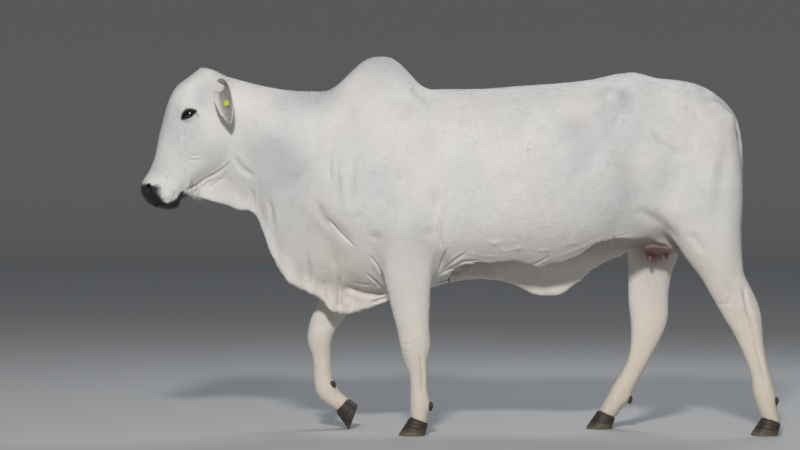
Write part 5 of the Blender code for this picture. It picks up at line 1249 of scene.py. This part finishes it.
def facing_out(mesh):
    """Turns every face of a closed mesh outwards."""
    whole = bmesh.new()
    whole.from_mesh(mesh)
    bmesh.ops.recalc_face_normals(whole, faces=whole.faces)
    whole.to_mesh(mesh)
    whole.free()


# eyeball under clear wet cornea: brown iris with darker rays, blue-black pupil, dark rim and brownish white
eyeball, tree, shader = finish("wet_dark_eye")
lens = layer_of(tree, "in_eye", "Vector")


def oval(half):
    """Places in an oval about the eye's middle, in units of its half sizes, and their distance from it."""
    units = {0: lens, 1: (1 / half[0], 1 / half[1], 0.0)}
    inside = add(tree, "ShaderNodeVectorMath", units, operation="MULTIPLY").outputs[0]
    return inside, add(tree, "ShaderNodeVectorMath", {0: inside}, operation="LENGTH").outputs["Value"]


iris, iris_reach = oval(IRIS_HALF)
_, pupil_reach = oval(PUPIL_HALF)
colour = mixed(tree, noise(tree, iris, 14.0, 4.0), "#120B08", "#24160E")
colour = mixed(tree, ranged(tree, iris_reach, 0.78, 0.95), colour, "#0B0908")
colour = mixed(tree, ranged(tree, iris_reach, 1.02, 1.18), colour, "#2E2622")
colour = mixed(tree, ranged(tree, pupil_reach, 1.04, 0.94), colour, "#06080C")
feed(tree, shader, {"Base Color": colour})
shader.inputs["Roughness"].default_value = 0.22
shader.inputs["IOR"].default_value = 1.376
shader.inputs["Coat Weight"].default_value = 1.0
shader.inputs["Coat Roughness"].default_value = 0.03
for side, word in ((-1, "left"), (1, "right")):
    middle, axes = eye_frame(side)
    down_from = np.linspace(0.02, math.pi - 0.02, 36)[:, None]
    round_it = np.linspace(0, 2 * math.pi, 56, endpoint=False)[None]
    unit = np.stack(np.broadcast_arrays(
        np.sin(down_from) * np.cos(round_it), np.sin(down_from) * np.sin(round_it), np.cos(down_from)), axis=-1)
    local = unit * np.array(EYE_RADII)
    bulge = np.clip(1 - (np.hypot(local[..., 0] / IRIS_HALF[0], local[..., 1] / IRIS_HALF[1])) ** 2, 0, 1)
    local[..., 2] += CORNEA_RISE * bulge**0.7 * (unit[..., 2] > 0)
    shape, faces = tube(local)
    mesh = mesh_of("eyeball_" + word, middle + shape @ axes, faces)
    facing_out(mesh)
    set_layer(mesh, "in_eye", "FLOAT_VECTOR", shape)
    ball = piece("eyeball_" + word, mesh)
    mesh.materials.append(eyeball)
    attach(ball, "root")
    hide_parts("eye_" + word)


# lashes: rows of dark, down-turned bristles along both lids, longest on the middle of the upper one
for side, word in ((-1, "left"), (1, "right")):
    middle, axes = eye_frame(side)
    chance = np.random.default_rng(60 + side)
    upper = np.linspace(-0.88, 0.90, 84) + chance.normal(0, 0.012, 84)
    lower = np.linspace(-0.80, 0.80, 34) + chance.normal(0, 0.015, 34)
    t = np.concatenate([upper, lower])
    top = np.arange(len(t)) < len(upper)
    v = np.where(top, LID_UPPER * (1 - t**2) ** 0.75 + 0.0012, -LID_LOWER * (1 - t**2) - 0.0012)
    u = t * LID_HALF + LID_SHIFT
    w = (EYE_RADII[2] + LID_OVER) * lid_dome(u, v) + 0.0006
    ways = np.column_stack([0.45 * t, np.where(top, -0.28, -0.45), np.where(top, 0.80, 0.55)])
    ways += chance.normal(0, 0.10, ways.shape)
    ways = unit_rows(ways)
    ups = np.column_stack([np.zeros(len(t)), np.where(top, 1.0, -1.0), np.full(len(t), 0.35)])
    ups -= ways * (ups * ways).sum(axis=1, keepdims=True)
    ups = unit_rows(ups)
    lengths = np.where(top, 0.013, 0.006) * (1 - 0.45 * t**2) * chance.uniform(0.75, 1.15, len(t))
    widths = np.full(len(t), 0.0009)
    curls = np.where(top, 0.35, 0.1)
    points, faces, _ = blades(np.column_stack([u, v, w]), ways, ups, lengths, widths, 0.0, curls)
    mesh = mesh_of("lashes_" + word, middle + points @ axes, faces)
    facing_out(mesh)
    lashes = piece("lashes_" + word, mesh)
    mesh.materials.append(bristle)
    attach(lashes, "root")


# The claws: two to a foot, of dark horn, with a flat sole and rings of growth that run round them
# parallel to the coronet. Two small dewclaws sit behind each fetlock.

# x and z of the coronet, its distance out, side and pitch, then x and z of the fetlock and how far behind
# it the dewclaws sit and lean
FEET = {
    "fore_left": ((-0.158, 0.055), 0.150, -1, 0, (-0.154, 0.128), 0.044, -18),
    "fore_right": ((-0.463, 0.090), 0.150, 1, 70, (-0.540, 0.150), 0.046, 38),
    "hind_left": ((1.234, 0.055), 0.150, -1, 0, (1.208, 0.150), 0.045, -18),
    "hind_right": ((0.604, 0.055), 0.150, 1, 0, (0.660, 0.140), 0.045, -30),
}
CLAW_LENGTH = 0.105
CLAW_WIDTH = 0.050
CLAW_TOE = 0.068
CLAW_HEEL = 0.042
TOE_SLOPE = math.radians(56)
HEEL_SLOPE = math.radians(75)
CLEFT = 0.005
DEWCLAW_RADII = (0.0125, 0.0115, 0.0175)


def claw_shape(foot, which, seed):
    """Rings from sole to coronet: a rounded oblong, c = sign(cos a)|cos a|^0.85 long and |sin a|^0.8
    wide, flat towards the cleft; its toe leans at TOE_SLOPE, and each ring swells by the growth rings."""
    (x, z), out, side, pitch = FEET[foot][:4]
    height = (CLAW_TOE + CLAW_HEEL) / 2
    coronet = ((CLAW_TOE / math.tan(TOE_SLOPE)) + (CLAW_HEEL / math.tan(HEEL_SLOPE))) / 2
    h = np.concatenate([[0.0, 0.012, 0.03], np.linspace(0.06, 1.0, 44), [1.05, 1.12]])[:, None]
    angle = np.linspace(0, 2 * math.pi, 72, endpoint=False)[None]
    c = np.sign(np.cos(angle)) * np.abs(np.cos(angle)) ** 0.85
    s = np.sin(angle)
    rings = 0.0009 * np.sin(2 * math.pi * (h * 4.5 + 0.35 * np.sin(5.1 * h + seed) + 0.06 * np.sin(angle + seed))) ** 2
    rings = rings + 0.0005 * np.sin(h * 23 + seed) + 0.0004 * np.sin(3 * angle + 5 * h + seed)
    swell = rings * ramp(h, 0.1) * ramp(1.05 - h, 0.08)
    taken_in = np.where(h < 0.05, 0.965 + 0.7 * h, 1.0) - 1.3 * np.clip(h - 1.0, 0, 1)
    toe = -CLAW_LENGTH / 2 + h * CLAW_TOE / math.tan(TOE_SLOPE)
    heel = CLAW_LENGTH / 2 + h * CLAW_HEEL / math.tan(HEEL_SLOPE)
    width = CLAW_WIDTH * (1.0 - 0.08 * h) * taken_in + swell
    along = (toe + heel) / 2 + ((heel - toe) / 2 * taken_in + swell) * c
    rise = h * (CLAW_TOE + (CLAW_HEEL - CLAW_TOE) * (along - toe) / (heel - toe))
    across = np.where(s > 0, width * np.abs(s) ** 0.8, -0.05 * width * np.abs(s)) + CLEFT / 2 + 0.05 * width
    turn = math.radians(pitch)
    dx, dz = along - coronet, rise - height
    world_z = z + dx * math.sin(turn) + dz * math.cos(turn)
    world_x = x + dx * math.cos(turn) - dz * math.sin(turn)
    world = np.stack([world_x, side * out + which * across, np.maximum(world_z, 0)], -1)
    around = np.broadcast_to(angle, world.shape[:2])
    return world, np.stack([np.cos(around), np.sin(around), np.broadcast_to(h, world.shape[:2])], -1)


def dewclaw_shape(foot, which):
    """An ellipsoid drawn to a blunt point below, with rings round it."""
    (x, z), depth, lean = FEET[foot][4:]
    out, side = FEET[foot][1:3]
    turn = math.radians(lean)
    tilt = math.radians(-lean * 0.5 - 12)
    down = np.linspace(0.04, math.pi - 0.04, 26)[:, None]
    around = np.linspace(0, 2 * math.pi, 28, endpoint=False)[None]
    girth = np.sin(down) ** 1.2
    swell, taper = 1 + 0.025 * np.sin(9 * down), 0.86 + 0.24 * np.cos(down)
    local = np.stack(np.broadcast_arrays(
        girth * np.cos(around) * swell * taper, girth * np.sin(around) * swell * taper, np.cos(down)), -1)
    local = local * np.array(DEWCLAW_RADII)
    middle = np.array((x + math.cos(turn) * depth, side * out + which * 0.021, z + math.sin(turn) * depth))
    turned = np.stack([
        local[..., 0] * math.cos(tilt) + local[..., 2] * math.sin(tilt), local[..., 1],
        local[..., 2] * math.cos(tilt) - local[..., 0] * math.sin(tilt)], -1)
    place = np.stack(np.broadcast_arrays(np.cos(around), np.sin(around), 0.5 + 0.5 * np.cos(down)), -1)
    return middle + turned, place


# worn hoof horn: fine upright fibres, darker and lighter growth bands, scuffed and dusty at the ground
horn, tree, shader = finish("worn_dark_hoof_horn")
place = places(tree)
on_claw = layer_of(tree, "on_claw", "Vector")
fibres = stretched(tree, on_claw, (26.0, 26.0, 1.6), 4.0, 0.6)
colour = mixed(tree, stretched(tree, on_claw, (0.5, 0.5, 9.0), 2.0), "#221E1B", "#423A34")
colour = mixed(tree, ranged(tree, fibres, 0.45, 0.75, most=0.45), colour, "#5A5048")
height = add(tree, "ShaderNodeSeparateXYZ", {"Vector": place}).outputs["Z"]
scuff = noise(tree, place, 85.0, 5.0, 0.7)
colour = mixed(tree, product(tree, ranged(tree, height, 0.030, 0.0, most=0.8), scuff), colour, "#A08C72")
feed(tree, shader, {
    "Base Color": colour, "Roughness": ranged(tree, scuff, least=0.38, most=0.68),
    "Normal": relief_of(tree, fibres, 0.5, 0.0006)})

for number, foot in enumerate(FEET):
    side = FEET[foot][2]
    for which, word in ((side, "outer"), (-side, "inner")):
        for kind, (rings, place) in (
            ("claw", claw_shape(foot, which, number + which)), ("dewclaw", dewclaw_shape(foot, which)),
        ):
            points, faces = tube(rings)
            ends = np.array([place[0].mean(axis=0), place[-1].mean(axis=0)])
            mesh = mesh_of(f"horn_{kind}_{foot}_{word}", points, faces)
            facing_out(mesh)
            set_layer(mesh, "on_claw", "FLOAT_VECTOR", np.concatenate([place.reshape(-1, 3), ends]))
            mesh.materials.append(horn)
            made = piece(mesh.name, mesh)
            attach(made, "root")
            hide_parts(f"{kind}_{foot}_{word}")


# The ear tag: two bare buttons of moulded yellow plastic, one on each face of the left ear, held
# by a stud through it.

TAG_ALONG = 0.60
TAG_PROFILE = (                                  # height along the stud and radius, edges rounded in the mould
    (-0.0075, 0.0), (-0.0075, 0.0075), (-0.0073, 0.0090), (-0.0067, 0.0100), (-0.0058, 0.0104), (-0.0051, 0.0101),
    (-0.0050, 0.0092), (-0.0050, 0.0040), (-0.0050, 0.0030), (0.0045, 0.0030), (0.0045, 0.0042), (0.0045, 0.0120),
    (0.0047, 0.0127), (0.0054, 0.0130), (0.0066, 0.0130), (0.0072, 0.0126), (0.0075, 0.0117), (0.0075, 0.0098),
    (0.0071, 0.0092), (0.0071, 0.0050), (0.0078, 0.0044), (0.0082, 0.0036), (0.0083, 0.0020), (0.0083, 0.0),
)


def smooth_curve(knots, values, at):
    """A Catmull-Rom curve through the values at their knots."""
    knots, values = np.asarray(knots, float), np.asarray(values, float)
    slopes = np.gradient(values, knots, axis=0)
    k = np.clip(np.searchsorted(knots, at, side="right") - 1, 0, len(knots) - 2)
    span = (knots[k + 1] - knots[k])
    t = ((at - knots[k]) / span)[:, None]
    return ((2 * t**3 - 3 * t**2 + 1) * values[k] + (t**3 - 2 * t**2 + t) * span[:, None] * slopes[k]
            + (3 * t**2 - 2 * t**3) * values[k + 1] + (t**3 - t**2) * span[:, None] * slopes[k + 1])


tag_low, tag_high = (np.array(corner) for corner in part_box("ear_tag"))
tag_middle = (tag_low + tag_high) / 2
path = np.array(EAR_PATH) * (1, -1, 1)
run = np.concatenate([[0], np.cumsum(np.linalg.norm(np.diff(path, axis=0), axis=1))])
way = np.gradient(smooth_curve(run / run[-1], path, np.linspace(0, 1, 101)), axis=0)[round(TAG_ALONG * 100)]
way /= np.linalg.norm(way)
stud = np.array(EAR_FACES) * (1, -1, 1)
stud = stud - way * (way @ stud)
stud /= np.linalg.norm(stud)
heights, radii = np.array(TAG_PROFILE).T
angle = np.linspace(0, 2 * math.pi, 56, endpoint=False)
spoke = np.cos(angle)[:, None] * way + np.sin(angle)[:, None] * np.cross(stud, way)
rings = tag_middle + stud * heights[1:-1, None, None] + spoke[None] * radii[1:-1, None, None]
points, faces = tube(rings)
mesh = mesh_of("tag", points, faces)
facing_out(mesh)
# flexible moulded polyurethane: soft sheen, faint flow marks, rubbed and dusty in patches
plastic, tree, shader = finish("moulded_yellow_polyurethane")
place = places(tree)
wear = noise(tree, place, 260.0, 4.0)
feed(tree, shader, {
    "Base Color": mixed(tree, ranged(tree, wear, 0.4, 0.75), "#D3DB3A", "#B9BE55"),
    "Roughness": ranged(tree, wear, least=0.34, most=0.55), "Normal": relief_of(tree, wear, 0.25, 0.0003)})
shader.inputs["Subsurface Weight"].default_value = 0.1
shader.inputs["Subsurface Radius"].default_value = (0.004, 0.004, 0.001)
mesh.materials.append(plastic)
tag = piece("tag", mesh)
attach(tag, "root")
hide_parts("ear_tag")


# The switch: the long coarse black hair at the end of the tail, in tapered locks that hang over
# one another in tiers and close in to a point.

SWITCH_TOP = 0.628
SWITCH_END = 0.364
SWITCH_BULGE = 0.027
SWITCH_LOCKS = 1100
SWITCH_MIDDLE = 1.128
LOCK_RINGS = 7                                   # rings of three corners in a lock, under its tip

chance = np.random.default_rng(7)
n = SWITCH_LOCKS
tier = chance.random(n) ** 1.3
turn = chance.uniform(0, 2 * math.pi, n)
start = SWITCH_TOP - 0.012 - 0.085 * tier
finish_at = SWITCH_END + 0.10 * chance.random(n) ** 1.6
bulge = SWITCH_BULGE * chance.uniform(0.25, 1.0, n)
t = np.linspace(0, 1, LOCK_RINGS + 1)[None]
reach = 0.011 * (1 - 0.4 * tier[:, None])
reach = reach + bulge[:, None] * np.sin(math.pi * (0.10 + 0.80 * t) ** 0.85) * (1 - 0.45 * t)
swing = turn[:, None] + 0.5 * np.sin(2.5 * t + 3 * turn[:, None]) + chance.normal(0, 0.25, n)[:, None] * t
wave = 0.0025 * np.sin(9 * t + 5 * turn[:, None])
spine = np.stack([
    SWITCH_MIDDLE + (reach + wave) * np.cos(swing), (reach + wave) * np.sin(swing),
    start[:, None] + (finish_at - start)[:, None] * t], axis=-1)
outward = np.stack([np.cos(swing), np.sin(swing), np.zeros_like(swing)], axis=-1)
sideways = np.stack([-np.sin(swing), np.cos(swing), np.zeros_like(swing)], axis=-1)
taper = (np.clip(1 - t, 0, 1) ** 0.6 * (0.7 + 0.6 * t))[..., None] * chance.uniform(0.6, 1.2, n)[:, None, None]
wide = 0.0021 * taper
soft = np.stack([outward + 0.6 * sideways, outward, outward - 0.6 * sideways], axis=2)[:, :-1]
soft = np.concatenate([soft.reshape(n, -1, 3), outward[:, -1:]], axis=1).reshape(-1, 3)
soft = unit_rows(soft)
rings = np.stack([spine + sideways * wide, spine + outward * wide * 0.6, spine - sideways * wide], axis=2)[:, :-1]
points = np.concatenate([rings.reshape(n, -1, 3), spine[:, -1:]], axis=1)
first = (np.arange(n) * (3 * LOCK_RINGS + 1))[:, None, None]
row, j = np.meshgrid(np.arange(LOCK_RINGS - 1), np.arange(3), indexing="ij")
k = (j + 1) % 3
quads = first + np.stack([row * 3 + j, row * 3 + k, (row + 1) * 3 + k, (row + 1) * 3 + j], -1).reshape(1, -1, 4)
thirds = first + np.array([(18, 19, 21), (19, 20, 21), (20, 18, 21), (0, 2, 1)])
spots = np.stack(np.meshgrid((-0.5, 0.0, 0.5), np.linspace(-0.5, 0.4, LOCK_RINGS)), -1)
patch = np.concatenate([spots.reshape(-1, 2), [(0.0, 0.5)]])
plan = np.column_stack([0.03 + 0.28 * tier, 0.88 + 0.10 * turn / (2 * math.pi)])

# coarse tail hair: black, browned by the sun in long streaks, with a long soft gleam
tail_hair, tree, shader = finish("coarse_black_tail_hair")
place = places(tree)
streaks = stretched(tree, place, (500.0, 500.0, 25.0), 3.0)
colour = mixed(tree, layer_of(tree, "shade"), "#141110", "#2C2420")
colour = mixed(tree, ranged(tree, streaks, 0.5, 0.8, most=0.6), colour, "#4A3A2E")
feed(tree, shader, {"Base Color": colour, "Normal": relief_of(tree, streaks, 0.4, 0.0004)})
shader.inputs["Roughness"].default_value = 0.45
switch = coat_piece(
    "switch", points.reshape(-1, 3), [quads.reshape(-1, 4), thirds.reshape(-1, 3)], soft, plan,
    np.tile((1.0, 0, 0, 0), (n, 1)), np.zeros(n), chance.random(n), tail_hair, "switch_hair", patch)
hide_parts("tail_switch")


# The room: a pale floor that runs up into a wall all the way round, a soft light above and beside the
# camera, as low as the sun in the photograph, and the camera 11 m off the cow's left side at head height.

CAMERA_PLACE = Vector((-0.232, -11.0, 1.0))
CAMERA_AIM = Vector((-0.232, 0.0, 0.828))
CAMERA_LENS = 123.75

eye = bpy.data.objects.new("camera", bpy.data.cameras.new("camera"))
bpy.context.scene.collection.objects.link(eye)
eye.location = CAMERA_PLACE
eye.rotation_euler = (CAMERA_AIM - CAMERA_PLACE).to_track_quat("-Z", "Y").to_euler()
eye.data.lens = CAMERA_LENS
eye.data.sensor_width = 36
bpy.context.scene.camera = eye


# a painted studio floor that curves up into the wall: height = R - sqrt(R^2 - d^2) over the bend
def backdrop():
    """A profile turned through a full circle: flat, a quarter circle of radius R, then straight up."""
    flat, radius, height, sides = 22.0, 3.0, 9.0, 96
    bend = np.linspace(0, math.pi / 2, 16)
    out = np.concatenate([[6.0], flat + radius * np.sin(bend), [flat + radius]])
    up = np.concatenate([[0.0], radius * (1 - np.cos(bend)), [height]])
    turn = np.linspace(0, 2 * math.pi, sides, endpoint=False)
    around = np.outer(out, np.cos(turn)), np.outer(out, np.sin(turn))
    rings = np.stack(np.broadcast_arrays(*around, up[:, None]), axis=-1)
    i = np.arange(len(out) - 1)[:, None] * sides + np.arange(sides)
    following = np.roll(i, -1, axis=1)
    quads = np.stack([i, i + sides, following + sides, following], axis=-1).reshape(-1, 4)
    middle = np.stack([np.full(sides, len(out) * sides), i[0], following[0]], axis=1)
    return mesh_of("floor", np.concatenate([rings.reshape(-1, 3), [(0.0, 0.0, 0.0)]]), [quads, middle])


floor = piece("floor", backdrop())
paint, tree, shader = finish("matt_floor_paint")
shader.inputs["Base Color"].default_value = linear("#BDBEBE")
shader.inputs["Roughness"].default_value = 0.9
floor.data.materials.append(paint)


def soft_light(name, place, aim, size, watts, colour):
    lamp = bpy.data.lights.new(name, "AREA")
    lamp.shape = "RECTANGLE"
    lamp.size, lamp.size_y = size
    lamp.energy = watts
    lamp.color = linear(colour)[:3]
    thing = bpy.data.objects.new(name, lamp)
    bpy.context.scene.collection.objects.link(thing)
    thing.location = place
    thing.rotation_euler = (Vector(aim) - Vector(place)).to_track_quat("-Z", "Y").to_euler()


soft_light("key", (-1.0, -10.0, 6.0), (0.0, 0.0, 0.9), (1.0, 1.0), 900, "#FFFDFA")
soft_light("rim", (1.5, 3.0, 4.6), (0.0, 0.0, 1.2), (3.0, 1.5), 90, "#F4F8FF")
world = bpy.data.worlds.new("studio")
bpy.context.scene.world = world
world.use_nodes = True
world.node_tree.nodes["Background"].inputs["Color"].default_value = linear("#E4EAF2")
world.node_tree.nodes["Background"].inputs["Strength"].default_value = 0.20

bpy.context.scene.view_settings.view_transform = "Standard"
